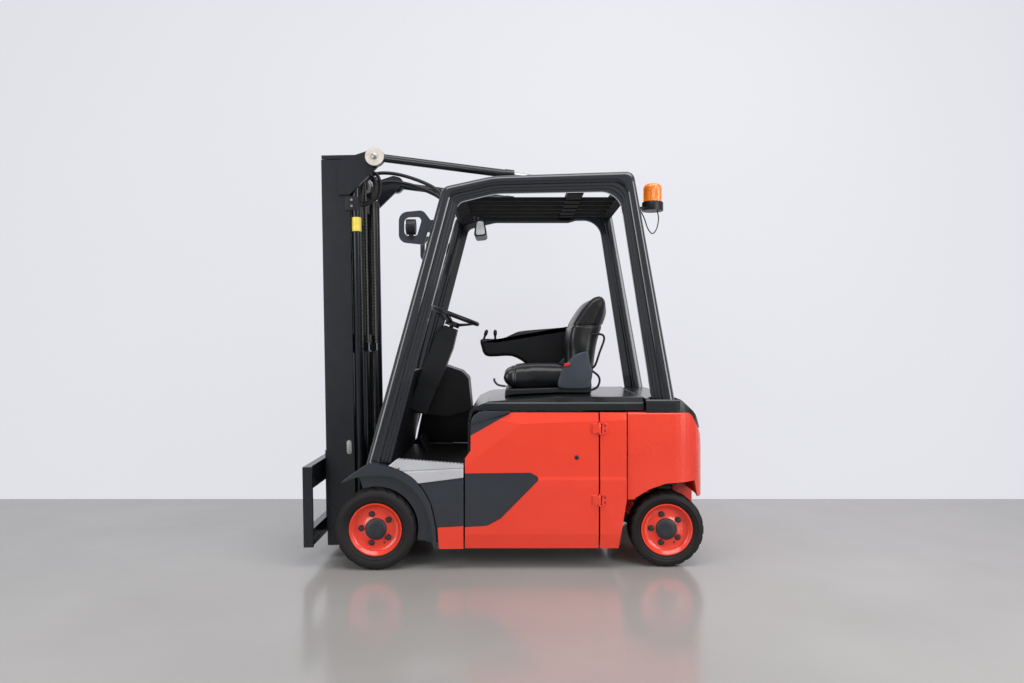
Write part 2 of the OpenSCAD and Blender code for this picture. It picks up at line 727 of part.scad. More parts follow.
function hood_line(d) = rounded([[hood_rear + d, belt_z - 20], [hood_rear + d, hood_z - d],
  [-933, hood_z - d], [-560, hood_z - 22 - d], [-472 - d, hood_z - 62 - d], [-463 - d, belt_z - 46],
  [-475 - d, belt_z - 46 - d], [-480 - d, belt_z - 20]], [0, 0, 300, 120, 36, 0, 0, 0]);
function hood_face(d) = rounded([[d - hood_w / 2, 700], [hood_w / 2 - d, 700],
  [hood_w / 2 - d, hood_z - 30 - d / 2],
  [hood_w / 2 - 44 - d / 2, hood_z - d], [d / 2 + 44 - hood_w / 2, hood_z - d],
  [d - hood_w / 2, hood_z - 30 - d / 2]], [0, 0, 16, 30, 30, 16]);

module hood() {
  color("#191a1c") at_axle() difference() {
    union() {
      difference() {
        intersection() {
          slab(hood_line(0), -hood_w / 2, hood_w / 2);
          beam(hood_face(0), hood_rear, -400);
        }
        intersection() {
          slab(hood_line(hood_t), -hood_w / 2, hood_w / 2);
          beam(hood_face(hood_t), hood_rear, -400);
        }
        both() box(hood_rear - 1, -482, hood_w / 2 - 30, 600, 700, belt_z + 8);
        box(hood_rear - 1, weight_x + seam, -600, 600, 700, weight_z + 8);
      }
      both() rod_y(hood_pin_x, hood_pin_z, 6, 250, 290);
      both() box(hood_pin_x, hood_rear + 20, 250, 290, hood_pin_z - 6, hood_z - 4);
    }
    both() rod_y(hood_pin_x, hood_pin_z, 3 + fit, 200, 400);
    both() for (y = [235, 293]) box(hood_rear - 1, hood_rear + 8, y, y + 12, hood_pin_z - 24, hood_z + 1);
  }
}

module seat_base() {
  color("#2a2b2e") at_axle() union() {
    slab([[-933, hood_z], [-700, hood_z - 10], [-655, hood_z + 10], [-716, hood_z + 38], [-1149, hood_z + 38],
      [-1155, hood_z]], -seat_w / 2, seat_w / 2);
    both() slab(rounded([[-943, hood_z + 30], [-948, 951], [-1013, 1043], [-1029, 1091], [-1089, 1091],
      [-1121, 1037], [-1121, hood_z + 30]], [0, 10, 30, 20, 20, 30, 0]), seat_w / 2 - 1, seat_w / 2 + 26);
  }
}

module seat_cushion() {
  color("#1c1d1f") at_axle() intersection() {
    slab(rounded([[-655, hood_z + 38], [-629, 950], [-640, 996], [-760, 1008], [-1012, 1004],
      [-1012, hood_z + 38]], [10, 14, 20, 60, 10, 0]), 2 - seat_w / 2, seat_w / 2 - 2);
    shoulder(seat_w / 2 - 2, 1007, 36, -1100, -600);
  }
}

module seat_back() {
  color("#1c1d1f") at_axle() intersection() {
    slab(rounded([[-1020, hood_z + 38], [-1016, 1129], [-1022, 1211], [-1060, 1293], [-1126, 1369],
      [-1190, 1404], [-1215, 1386], [-1202, 1320], [-1158, 1200], [-1142, 1102], [-1125, hood_z + 38]],
      [0, 40, 60, 80, 80, 24, 20, 60, 80, 40, 0]), 15 - seat_w / 2, seat_w / 2 - 15);
    shoulder(seat_w / 2 - 15, 1404, 120, -1300, -1000);
  }
}

module armrest() {
  inner = -seat_w / 2 - 26;
  color("#222326") at_axle() union() {
    intersection() {
      slab(rounded([[-493, 1157], [-505, 1096], [-536, 1056], [-676, 1059], [-737, 1035], [-798, 992],
        [-1055, 960], [-1067, 1237], [-737, 1212], [-646, 1175], [-585, 1163]],
        [14, 20, 20, 40, 40, 30, 10, 20, 40, 40, 20]), inner - 80, inner);
      beam(rounded([[inner - 80, 940], [inner, 940], [inner, 1238], [inner - 80, 1238]], [0, 0, 24, 24]),
        -1100, -480);
    }
    for (x = [-528, -590]) translate([x, inner - 40, 1140]) cylinder(h = 84, r = 10, $fn = 32);
  }
}

module steering_wheel() {
  color("#1a1b1d") at_axle() steer_frame() difference() {
    union() {
      rotate_extrude($fn = 72) translate([steer_wheel_d / 2 - 13, 0]) circle(r = 13, $fn = 24);
      translate([0, 0, -62]) cylinder(h = 30, r = 42, $fn = 48);
      for (a = [60, 180, 300]) rotate([0, 0, a]) slab([[28, -56], [steer_wheel_d / 2 - 20, -8],
        [steer_wheel_d / 2 - 14, 4], [28, -36]], -14, 14);
    }
    translate([0, 0, -70]) cylinder(h = 32, r = 12 + fit, $fn = 32);
  }
}

// Channel open toward the middle of the truck
module channel(y_out, width, depth, flange, web, z0, z1) {
  translate([channel_dx, 0, z0]) linear_extrude(z1 - z0) polygon([
    [-depth / 2, y_out], [depth / 2, y_out], [depth / 2, y_out - width], [depth / 2 - flange, y_out - width],
    [depth / 2 - flange, y_out - web], [flange - depth / 2, y_out - web], [flange - depth / 2, y_out - width],
    [-depth / 2, y_out - width]]);
}

module mast_outer() {
  color("#363b42") on_mast() union() {
    both() channel(outer_y, channel_w, channel_depth, flange_t, web_t, mast_foot, outer_top);
    for (z = [[95, 175], [1090, 1190], [outer_top - 220, outer_top - 130]])
      box(back_x - cross_t, back_x, -lift_y + 28, lift_y - 28, z[0], z[1]);
    both() difference() {
      union() {
        slab([[back_x + 10, mast_foot], [back_x + 10, 420], [back_x - 6, 420], [-30, axle_z + 88],
          [-30, axle_z - 88], [back_x - 20, mast_foot]], outer_y - channel_w, outer_y - channel_w + 18);
        rod_y(0, axle_z, 88, outer_y - channel_w - 40, outer_y - channel_w + 18);
      }
      rod_y(0, axle_z, 60 + fit, 100, 400);
    }
    both() slab(rounded([[back_x + 60, tilt_pin_z - 10], [0, tilt_pin_z + 54], [-50, tilt_pin_z],
      [0, tilt_pin_z - 54], [back_x, tilt_pin_z - 190], [back_x + 60, tilt_pin_z - 190]],
      [0, 30, 45, 30, 0, 0]), outer_y - 1, outer_y + 15);
    both() rod_y(0, tilt_pin_z, 18, outer_y + 10, tilt_y + 24);
    both() box(lift_x - 30, back_x + 5, lift_y - 27, outer_y - 2, mast_foot, 92);
    both() box(pulley_x - chain_r - 10, back_x - cross_t + 1, chain_y - 14, chain_y + 14, 1100, 1140);
  }
}

module lift_barrels() {
  color("#2b2f35") on_mast() both() difference() {
    union() {
      translate([lift_x, lift_y, 92]) cylinder(h = barrel_top - 92, d = lift_barrel_d, $fn = 48);
      translate([lift_x, lift_y, barrel_top - 40]) cylinder(h = 40, d = lift_barrel_d + 1, $fn = 48);
    }
    translate([lift_x, lift_y, 110]) cylinder(h = 3000, r = lift_rod_d / 2 + fit, $fn = 48);
  }
}

module mast_hoses() {
  color("#121314") on_mast() for (y = hose_ys)
    translate([hose_x, y, 300]) cylinder(h = hose_top - 300, r = hose_r, $fn = 24);
}

module mast_inner() {
  color("#363b42") on_mast() union() {
    both() channel(inner_y, inner_w, inner_depth, inner_t, web_t, mast_foot + 14, outer_top + 6);
    both() box(lift_x - 22, channel_dx + channel_depth / 2, inner_y - inner_w, outer_y - 6,
      outer_top + 5, mast_height);
    box(inner_back, inner_back + inner_depth, -inner_y + inner_w - 1, inner_y - inner_w + 1,
      mast_height - 24, mast_height);
    box(inner_back - 18, inner_back + 1, -inner_cross, inner_cross, 100, 170);
    both() for (s = [-1, 1]) box(pulley_x - 24, inner_back + 8, chain_y + s * 29 - 6,
      chain_y + s * 29 + 6, pulley_z - 20, mast_height);
    both() rod_y(pulley_x, pulley_z, 10, chain_y - 30, chain_y + 30);
    box(pulley_x - 24, inner_back + 1, -chain_y - 35, chain_y + 35, mast_height - 24, mast_height);
  }
}

module lift_rods() {
  color("#c9ccd0") on_mast() both()
    translate([lift_x, lift_y, 130]) cylinder(h = outer_top + 5 - 130, d = lift_rod_d, $fn = 48);
}

module chain_pulleys() {
  color("#5a5d61") on_mast() both() {
    difference() {
      rod_y(pulley_x, pulley_z, pulley_d / 2, chain_y - 18, chain_y + 18);
      rod_y(pulley_x, pulley_z, 10 + fit, chain_y - 30, chain_y + 30);
    }
    difference() {
      rod_y(pulley_x, pulley_z, chain_r + chain_t / 2, chain_y - 12, chain_y + 12);
      rod_y(pulley_x, pulley_z, pulley_d / 2 + fit, chain_y - 30, chain_y + 30);
      box(pulley_x - 100, pulley_x + 100, 0, 300, pulley_z - 100, pulley_z);
    }
  }
}

module chain_front() {
  color("#4a4640") on_mast() both()
    box(pulley_x + chain_r - chain_t / 2, pulley_x + chain_r + chain_t / 2, chain_y - 12, chain_y + 12,
      carriage_top - 60, pulley_z);
}

module chain_rear() {
  color("#4a4640") on_mast() both()
    box(pulley_x - chain_r - chain_t / 2, pulley_x - chain_r + chain_t / 2, chain_y - 12, chain_y + 12,
      1140, pulley_z);
}

module fork_carriage() {
  face = load_distance;
  color("#33373d") on_mast() union() {
    box(face - fork_bar_t, face, -carriage_w / 2, carriage_w / 2, carriage_top - upper_bar_h, carriage_top);
    box(face - fork_bar_t, face, -carriage_w / 2, carriage_w / 2, carriage_z, carriage_z + lower_bar_h);
    both() box(face - 48, face, carriage_w / 2 - 18, carriage_w / 2, carriage_z, carriage_top);
    both() box(pulley_x + chain_r + 12, face - fork_bar_t + 2, 166, 186, carriage_z + 10, carriage_top + 40);
    both() for (z = [carriage_z + 60, carriage_top - 10])
      rod_y(channel_dx, z, roller_r, 185, inner_y - web_t - 3);
    both() box(pulley_x + chain_r - 14, face - fork_bar_t + 1, chain_y - 16, chain_y + 16,
      carriage_top - 90, carriage_top - 60);
  }
}

// Cylinder axis from the mast pin toward the roof pin, length along -X
module tilt_axis() {
  translate([front_x + tilt_ax, 0, tilt_az]) rotate([0, -tilt_slope, 0]) children();
}

// Cylinder on the left tilt axis between two stations
module along_tilt(x0, x1, r) {
  translate([x0, tilt_y, 0]) rotate([0, 90, 0]) cylinder(h = x1 - x0, r = r, $fn = 48);
}

module tilt_barrels() {
  color("#363b42") tilt_axis() both() difference() {
    union() {
      along_tilt(-tilt_barrel_l, -30, tilt_barrel_d / 2);
      along_tilt(-tilt_barrel_l, 50 - tilt_barrel_l, tilt_barrel_d / 2 + 3);
      rod_y(0, 0, 50, outer_y + 18, tilt_y + 20);
    }
    rod_y(0, 0, 18 + fit, 200, 500);
    along_tilt(-tilt_barrel_l - 10, -70, tilt_rod_d / 2 + fit);
  }
}

module tilt_rods() {
  color("#c9ccd0") tilt_axis() both() difference() {
    union() {
      along_tilt(10 - tilt_len, 610 - tilt_len, tilt_rod_d / 2);
      rod_y(-tilt_len, 0, 31, tilt_y - 20, tilt_y + 20);
    }
    rod_y(-tilt_len, 0, tilt_pin_r + eye_play, 200, 500);
  }
}

module knuckle() {
  leg_out = rear_wheel_y - rear_tyre_w / 2 - 10;
  color("#33363a") at_axle() translate([-wheelbase, 0, 0]) union() {
    box(-35, 35, leg_out - 27, leg_out, 145, rear_tyre_d + 22);
    box(-35, 35, leg_out - 1, kingpin_y + 35, rear_tyre_d + 8, rear_tyre_d + 22);
    translate([0, kingpin_y, rear_tyre_d + 10]) cylinder(h = 438 - rear_tyre_d, r = 24, $fn = 48);
    rod_y(0, rear_z, 46, leg_out - 1, leg_out + 8);
    rod_y(0, rear_z, spindle_r - 5, leg_out - 1, rear_wheel_y + 34);
  }
}

module knuckle_left() {
  knuckle();
}

module knuckle_right() {
  mirror([0, 1, 0]) knuckle();
}

// Tyre outline for a wheel: half width a, tread radius r, seat radius s
function tyre_line(a, r, s) = [[s, -a + 21], [s + 11, -a + 17], [s + 26, -a + 5], [r - 31, -a],
  [r - 13, -a + 5], [r - 3, -a + 15], [r, -a + 29], [r, a - 29], [r - 3, a - 15], [r - 13, a - 5],
  [r - 31, a], [s + 26, a - 5], [s + 11, a - 17], [s, a - 21]];

// Rim outline: half width a, flange radius r, bore radius b
function rim_line(a, r, b) = [[r - 20, -a], [r, -a], [r, -a + 4], [r - 8, -a + 6], [r - 8, a - 6],
  [r, a - 4], [r, a], [r - 6, a], [r - 13, a - 8], [r - 20, a - 14], [r - 20, a - 28], [r - 36, a - 33],
  [66, a - 29], [53, a - 24], [53, a - 14], [46, a - 8], [0, a - 6], [0, a - 16], [b, a - 16],
  [b, -a + 32], [b + 18, -a + 32], [b + 22, a - 48], [r - 36, a - 46], [r - 22, a - 40]];

module front_wheel_at() {
  at_axle() translate([0, front_wheel_y, axle_z]) children();
}

module rear_wheel_at() {
  at_axle() translate([-wheelbase, rear_wheel_y, rear_z]) children();
}

module tyre_front() {
  color("#151617") front_wheel_at()
    turned(tyre_line(front_tyre_w / 2, front_tyre_d / 2, front_rim_d / 2 - 8 + fit));
}

module tyre_rear() {
  color("#151617") rear_wheel_at()
    turned(tyre_line(rear_tyre_w / 2, rear_tyre_d / 2, rear_rim_d / 2 - 8 + fit));
}

module rim_front() {
  color("#d8431c") front_wheel_at()
    turned(rim_line(front_tyre_w / 2 - 13, front_rim_d / 2, spindle_r + fit));
}

module rim_rear() {
  color("#d8431c") rear_wheel_at()
    turned(rim_line(rear_tyre_w / 2 - 11, rear_rim_d / 2, spindle_r - 5 + fit));
}

module tyre_front_left() {
  tyre_front();
}

module tyre_front_right() {
  mirror([0, 1, 0]) tyre_front();
}

module tyre_rear_left() {
  tyre_rear();
}

module tyre_rear_right() {
  mirror([0, 1, 0]) tyre_rear();
}

module rim_front_left() {
  rim_front();
}

module rim_front_right() {
  mirror([0, 1, 0]) rim_front();
}

module rim_rear_left() {
  rim_rear();
}

module rim_rear_right() {
  mirror([0, 1, 0]) rim_rear();
}

chassis_frame();
drive_axle();
battery();
counterweight();
steer_axle();
side_panels();
side_insert_right();
step_plates();
sill_panels();
front_fenders();
guard_left();
guard_right();
roof_frame();
roof_console();
floor_mat();
dash_console();
steering_column();
pedals();
rear_cover();
lamp_guards();
work_lamps();
inside_mirror();
beacon_base();
beacon_lens();
beacon_lead();
supply_hoses();
battery_door();
door_insert();
hood();
seat_base();
seat_cushion();
seat_back();
armrest();
steering_wheel();
mast_outer();
lift_barrels();
mast_hoses();
chain_rear();
mast_inner();
lift_rods();
chain_pulleys();
chain_front();
fork_carriage();
tilt_barrels();
tilt_rods();
knuckle_left();
knuckle_right();
tyre_front_left();
tyre_front_right();
tyre_rear_left();
tyre_rear_right();
rim_front_left();
rim_front_right();
rim_rear_left();
rim_rear_right();
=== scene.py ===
"""Looks of an electric counterbalance lift truck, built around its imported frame.

Row frame: metres, +X forward, +Y to the truck's left, +Z up, origin on the floor below the box's middle.
Shapes are worked out in axle millimetres: the same directions, with X counted from the front axle.
"""

import logging
import math
from dataclasses import dataclass
from enum import Enum

import bmesh
import bpy
import numpy as np
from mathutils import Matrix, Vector
from numpy.typing import ArrayLike, NDArray


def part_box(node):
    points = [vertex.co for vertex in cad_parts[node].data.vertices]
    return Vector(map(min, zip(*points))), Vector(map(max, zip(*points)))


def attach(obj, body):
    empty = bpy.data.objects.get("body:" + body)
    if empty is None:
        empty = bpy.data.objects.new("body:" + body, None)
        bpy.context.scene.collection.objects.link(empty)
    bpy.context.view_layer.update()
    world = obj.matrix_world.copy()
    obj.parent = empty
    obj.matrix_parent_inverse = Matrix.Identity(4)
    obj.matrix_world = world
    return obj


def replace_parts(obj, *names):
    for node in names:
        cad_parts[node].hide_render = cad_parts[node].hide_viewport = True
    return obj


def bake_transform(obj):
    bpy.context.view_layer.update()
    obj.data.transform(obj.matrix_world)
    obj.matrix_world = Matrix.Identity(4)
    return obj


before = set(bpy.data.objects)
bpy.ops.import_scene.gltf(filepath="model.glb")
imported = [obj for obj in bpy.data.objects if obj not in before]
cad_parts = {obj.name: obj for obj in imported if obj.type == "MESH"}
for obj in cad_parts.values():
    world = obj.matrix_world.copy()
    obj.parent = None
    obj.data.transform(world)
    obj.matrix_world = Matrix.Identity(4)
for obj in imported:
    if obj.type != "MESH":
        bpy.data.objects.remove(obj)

Array = NDArray[np.float64]
LOG = logging.getLogger("truck")
MM = 0.001


def axle_x() -> float:
    """Returns the front axle's place along the row frame's X in millimetres."""
    low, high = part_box("tyre_front_left")
    return (low.x + high.x) / 2 / MM


FRONT_X = axle_x()
AXLE_Z = 203.0
REAR_X = -1475.0
REAR_Z = 190.0
GUARD_H = 2016.0
MAST_LEAN = math.radians(1.0)
STEER_LEAN = math.radians(20.6)
SPECK_MM = 35.0
SMEAR_MM = 55.0
COAT_ROUGHNESS = 0.06
WELD_M = 0.00002
BEVEL_M = 0.003
BEVEL_FROM = math.radians(35)


def linear(hex_colour: str) -> tuple[float, float, float, float]:
    """Returns a hex sRGB colour as the linear values that the shaders take, with an alpha of one."""
    raw = np.array([int(hex_colour[i : i + 2], 16) / 255 for i in (1, 3, 5)])
    r, g, b = np.where(raw <= 0.04045, raw / 12.92, ((raw + 0.055) / 1.055) ** 2.4)
    return (float(r), float(g), float(b), 1.0)


class Shader:
    """Adds nodes to one material or world."""

    def __init__(self, owner: bpy.types.Material | bpy.types.World) -> None:
        """Opens the owner's nodes.

        Args:
            owner: a material or a world.
        """
        owner.use_nodes = True
        self.tree = owner.node_tree

    def add(
        self, kind: str, props: dict[str, object] | None = None, out: int | str = 0, **sockets: object
    ) -> bpy.types.NodeSocket | None:
        """Adds one node with its settings, constants and links.

        Args:
            kind: Blender's node type, or the name of a node that is already there.
            props: properties of the node.
            out: the output that is wanted.
            sockets: input name with underscores for spaces, or an underscore and a number, to a constant
                or to another node's output.

        Returns:
            The output, or none from a node without one.
        """
        node = self.tree.nodes.get(kind) or self.tree.nodes.new(kind)
        for key, value in (props or {}).items():
            setattr(node, key, value)
        for key, value in sockets.items():
            socket = node.inputs[int(key[1:])] if key[0] == "_" else node.inputs[key.replace("_", " ")]
            if isinstance(value, bpy.types.NodeSocket):
                self.tree.links.new(value, socket)
            else:
                socket.default_value = value
        return node.outputs[out] if len(node.outputs) else None

    def seen(self) -> bpy.types.NodeSocket:
        """Returns one for a ray from the camera, a mirror or clear glass, and zero for one that lights."""
        ray = self.add("ShaderNodeLightPath", out="Is Camera Ray")
        for word in ("Is Glossy Ray", "Is Transmission Ray"):
            other = self.add("ShaderNodeLightPath", out=word)
            ray = self.add("ShaderNodeMath", {"operation": "MAXIMUM"}, _0=ray, _1=other)
        return ray


class Grain(Enum):
    """How the fine relief of a surface was made."""

    SPRAYED = "noise"
    MOULDED = "cells"
    BRUSHED = "lines"


@dataclass(frozen=True)
class Finish:
    """A worn finish: two close colours in blotches, a fine relief, and dust that gathers near the floor."""

    name: str
    colour: str
    shade: str
    roughness: float = 0.4
    metallic: float = 0.0
    coat: float = 0.0
    grain: Grain = Grain.SPRAYED
    grain_mm: float = 2.0
    relief_mm: float = 0.02
    blotch_mm: float = 160.0
    dust: float = 0.1
    dust_colour: str = "#8d8983"
    dust_top: float = 0.5
    specular: float = 0.5

    def make(self) -> bpy.types.Material:
        """Returns the material, built from object coordinates so that its patterns keep their real size."""
        material = bpy.data.materials.new(self.name)
        t = Shader(material)
        two = {"data_type": "RGBA"}
        pos = t.add("ShaderNodeTexCoord", out="Object")
        blotch, speck, smear = (
            t.add("ShaderNodeTexNoise", Vector=pos, Scale=1000 / size, Detail=detail)
            for size, detail in ((self.blotch_mm, 4.0), (SPECK_MM, 5.0), (SMEAR_MM, 3.0))
        )
        share = t.add("ShaderNodeMapRange", Value=blotch, From_Min=0.35, From_Max=0.7)
        base = t.add("ShaderNodeMix", two, 2, _0=share, _6=linear(self.colour), _7=linear(self.shade))
        height = t.add("ShaderNodeSeparateXYZ", out="Z", Vector=pos)
        low = t.add("ShaderNodeMapRange", Value=height, From_Max=self.dust_top, To_Min=self.dust, To_Max=0.0)
        speck = t.add("ShaderNodeMapRange", Value=speck, From_Min=0.35, From_Max=0.75, To_Min=0.2)
        dirt = t.add("ShaderNodeMath", {"operation": "MULTIPLY"}, _0=low, _1=speck)
        colour = t.add("ShaderNodeMix", two, 2, _0=dirt, _6=base, _7=linear(self.dust_colour))
        least, most = self.roughness * 0.95, self.roughness * 1.06
        smear = t.add("ShaderNodeMapRange", Value=smear, From_Min=0.3, From_Max=0.7, To_Min=least, To_Max=most)
        rough = t.add("ShaderNodeMath", {"operation": "ADD", "use_clamp": True}, _0=smear, _1=dirt)
        scale = 1000 / self.grain_mm
        if self.grain is Grain.MOULDED:
            relief = t.add("ShaderNodeTexVoronoi", Vector=pos, Scale=scale)
        else:
            if self.grain is Grain.BRUSHED:
                pos = t.add("ShaderNodeMapping", Vector=pos, Scale=(0.05, 1.0, 1.0))
            relief = t.add("ShaderNodeTexNoise", Vector=pos, Scale=scale, Detail=2.0)
        normal = t.add("ShaderNodeBump", Height=relief, Distance=self.relief_mm * MM)
        main = "Principled BSDF"
        t.add(main, Base_Color=colour, Metallic=self.metallic, Roughness=rough, Normal=normal)
        t.add(main, Coat_Weight=self.coat, Coat_Roughness=COAT_ROUGHNESS, Specular_IOR_Level=self.specular)
        return material


@dataclass(frozen=True)
class ChainFinish(Finish):
    """Oiled leaf chain: painted shade in the gaps between the link plates, one link each pitch along Z."""

    pitch_mm: float = 19.05
    link_mm: float = 2.0
    spot_mm: float = 12.0
    # Colour of the gaps between the plates: painted shade
    gap: str = "#0b0a09"

    def make(self) -> bpy.types.Material:
        """Returns the material: a sine of the height splits each link into its plate and the gap after it, which
        takes a near-black colour as painted shade.
        """
        material = bpy.data.materials.new(self.name)
        t = Shader(material)
        two, turns = {"data_type": "RGBA"}, 2 * math.pi / (self.pitch_mm * MM)
        pos = t.add("ShaderNodeTexCoord", out="Object")
        height = t.add("ShaderNodeSeparateXYZ", out="Z", Vector=pos)
        angle = t.add("ShaderNodeMath", {"operation": "MULTIPLY"}, _0=height, _1=turns)
        wave = t.add("ShaderNodeMath", {"operation": "SINE"}, _0=angle)
        link = t.add("ShaderNodeMapRange", Value=wave, From_Min=-0.75, From_Max=-0.2)
        spots = t.add("ShaderNodeTexNoise", Vector=pos, Scale=1000 / self.spot_mm, Detail=4.0)
        plate = t.add("ShaderNodeMix", two, 2, _0=spots, _6=linear(self.colour), _7=linear(self.shade))
        # The gaps between the plates take the near-black gap colour as painted shade
        colour = t.add("ShaderNodeMix", two, 2, _0=link, _6=linear(self.gap), _7=plate)
        normal = t.add("ShaderNodeBump", Height=link, Distance=self.link_mm * MM)
        values = {"Metallic": self.metallic, "Roughness": self.roughness}
        t.add("Principled BSDF", Base_Color=colour, Normal=normal, **values)
        return material


class Paint(Enum):
    """The finishes, named for the real material that each stands for; some also carry painted shade or a painted
    reflection in their colour.

    The lacquers' waviness of 30 to 40 mm is drawn coarse, since the real orange peel is too fine to show.
    """

    # Two-layer lacquer sprayed on smooth sheet: an even deep red with clear reflections
    RED = Finish(
        "red_lacquer_on_sheet", "#e83c24", "#e43922", 0.24, 0.0, 0.4, relief_mm=0.004, grain_mm=40.0, dust=0.02
    )
    # The same lacquer on a sand casting: a soft waviness under the shine
    RED_CAST = Finish(
        "red_lacquer_on_iron", "#e63c25", "#e03822", 0.28, 0.0, 0.4, grain_mm=40.0, relief_mm=0.06, dust=0.03
    )
    # Satin lacquer on pressed sheet: blue-grey with broad highlights
    GREY = Finish(
        "anthracite_lacquer", "#262b34", "#232830", 0.2, 0.0, 0.35, relief_mm=0.004, grain_mm=30.0, dust=0.02
    )
    # The same lacquer on the round guard tube, its colour painted nearly black as shade, with narrow bright
    # streaks along the bends
    GUARD = Finish(
        "anthracite_lacquer_painted_shade_on_tube", "#171b23", "#151920", 0.15, 0.0, 0.6,
        relief_mm=0.004, grain_mm=30.0, dust=0.02,
    )
    # Textured black powder coat under the roof, its colour painted darker than the other blacks as the shade
    # there: it gives almost no light back
    ROOF = Finish(
        "black_powder_coat_painted_shade", "#08090a", "#0b0c0e", 0.75, grain_mm=2.0, relief_mm=0.03, dust=0.0, specular=0.12
    )
    # The anthracite lacquer on rolled channels, its colour painted darker as shade on the mast, with a soft
    # sheen
    MAST = Finish(
        "anthracite_painted_shade_on_rolled_steel", "#12161d", "#0f1319", 0.26, 0.0, 0.1,
        grain_mm=30.0, relief_mm=0.01, dust=0.03, specular=0.4,
    )
    # Chassis paint that hides in the shade and holds road dust
    FRAME = Finish(
        "black_chassis_paint", "#101113", "#151618", 0.55, grain_mm=4.0, relief_mm=0.06, dust=0.2, specular=0.3
    )
    # Injection moulded cover with a pebbled grain: matt black with a grey sheen
    BLACK = Finish(
        "black_grained_abs", "#0d0e11", "#121317", 0.42,
        grain=Grain.MOULDED, grain_mm=1.6, relief_mm=0.04, dust=0.03, specular=0.35,
    )
    # Painted moulded hood: smoother black that mirrors the wall along its edge
    HOOD = Finish(
        "black_satin_hood", "#111419", "#0e1014", 0.24, 0.0, 0.2,
        grain=Grain.MOULDED, grain_mm=1.5, relief_mm=0.012, dust=0.03, specular=0.45,
    )
    # Moulded side covers of the seat: a grey that stands off the black vinyl
    SLATE = Finish(
        "slate_grained_abs", "#353a44", "#2e333c", 0.45,
        grain=Grain.MOULDED, grain_mm=1.6, relief_mm=0.04, dust=0.04, specular=0.4,
    )
    # Hose and mat rubber: black with a weak broad shine
    RUBBER = Finish(
        "black_hose_rubber", "#0c0c0e", "#111113", 0.42, grain_mm=2.0, relief_mm=0.04, dust=0.05, specular=0.35
    )
    # Solid tyre compound: brown-black and dull where it scuffs
    TYRE = Finish(
        "solid_tyre_rubber", "#131112", "#1d1a1b", 0.62, grain_mm=2.5, relief_mm=0.15,
        dust=0.25, dust_colour="#3a3431", dust_top=0.45, specular=0.3,
    )
    # Extruded step plate: a bright dull skin with lines along it
    ALU = Finish(
        "brushed_aluminium", "#c8c9ce", "#b9bac0", 0.4, 0.4, grain=Grain.BRUSHED, grain_mm=1.2, dust=0.12
    )
    # Turned and zinc plated small parts: a soft grey glint
    STEEL = Finish("zinc_plated_steel", "#a3a3a2", "#8c8c8a", 0.34, 0.9, grain_mm=1.5)
    # Ground piston rods: a clear mirror
    CHROME = Finish("hard_chrome", "#c6c8cb", "#bcbec1", 0.12, 1.0, grain_mm=1.0, relief_mm=0.003)
    # Bolts and caps with a phosphate skin: dark, with a dull glint
    BOLT = Finish("phosphated_steel", "#33363c", "#2a2c31", 0.42, 0.5, grain_mm=1.2)
    # Nylon bearing discs that have gone cream with age: pale, slightly stained
    CREAM = Finish("cream_nylon", "#c3beb6", "#b3ada4", 0.45, grain_mm=3.0, relief_mm=0.05, blotch_mm=30.0)
    # Soft vinyl pulled over the barrel: the one clear yellow on the mast
    YELLOW = Finish("yellow_vinyl_sleeve", "#e6cf5a", "#d8bf48", 0.4, blotch_mm=20.0)
    # Moulded press button: a small red spot beside the seat
    LATCH = Finish("red_moulded_latch", "#c8241d", "#b51f19", 0.4)
    # Clear amber polycarbonate over a bright reflector: a warm glow with sharp glints on the ribs
    AMBER = Finish(
        "amber_polycarbonate", "#ec7418", "#f5861f", 0.14, 0.0, 0.6, grain_mm=8.0, relief_mm=0.02, dust=0.0
    )
    # Lamp glass in front of a faceted reflector: pale, with pale and darker patches painted as the facets'
    # reflections
    GLASS = Finish("lamp_glass_painted_reflector_glints", "#c4c9cf", "#9fa5ab", 0.08, 0.7, 0.8, blotch_mm=12.0)
    # Silvered glass whose pale colour is a painted reflection of the pale room behind the camera
    MIRROR = Finish(
        "silvered_glass_painted_reflection", "#cfd4d8", "#c6cbcf", 0.12, 0.2, 0.5, relief_mm=0.0, blotch_mm=60.0, dust=0.0
    )
    # Coated vinyl with a leather grain: soft broad highlights along the bolsters
    SEAT = Finish(
        "black_seat_vinyl", "#0f1013", "#0b0c0e", 0.3,
        grain=Grain.MOULDED, grain_mm=2.2, relief_mm=0.06, dust=0.0, specular=0.45,
    )
    # Oiled steel links: brown-grey plates with painted black shade in the gaps
    CHAIN = ChainFinish("oiled_leaf_chain", "#4a443b", "#352f28", 0.42, 0.7)

    def material(self) -> bpy.types.Material:
        """Returns the material, built once."""
        return bpy.data.materials.get(self.value.name) or self.value.make()


NODE_PAINT: dict[Paint, str] = {
    Paint.FRAME: "chassis_frame drive_axle battery steer_axle knuckle_left knuckle_right",
    Paint.RED_CAST: "counterweight",
    Paint.RED: "side_panels battery_door rim_front_left rim_front_right rim_rear_left rim_rear_right",
    Paint.GREY: "side_insert_right door_insert sill_panels front_fenders lamp_guards",
    Paint.GUARD: "guard_left guard_right",
    Paint.ALU: "step_plates",
    Paint.ROOF: "roof_frame roof_console",
    Paint.BLACK: "dash_console steering_column work_lamps inside_mirror beacon_base "
    "seat_base armrest steering_wheel",
    Paint.RUBBER: "floor_mat pedals beacon_lead supply_hoses mast_hoses",
    Paint.HOOD: "hood rear_cover",
    Paint.AMBER: "beacon_lens",
    Paint.SEAT: "seat_cushion seat_back",
    Paint.MAST: "mast_outer lift_barrels mast_inner fork_carriage tilt_barrels",
    Paint.CHAIN: "chain_rear chain_front",
    Paint.CHROME: "lift_rods tilt_rods",
    Paint.STEEL: "chain_pulleys",
    Paint.TYRE: "tyre_front_left tyre_front_right tyre_rear_left tyre_rear_right",
}


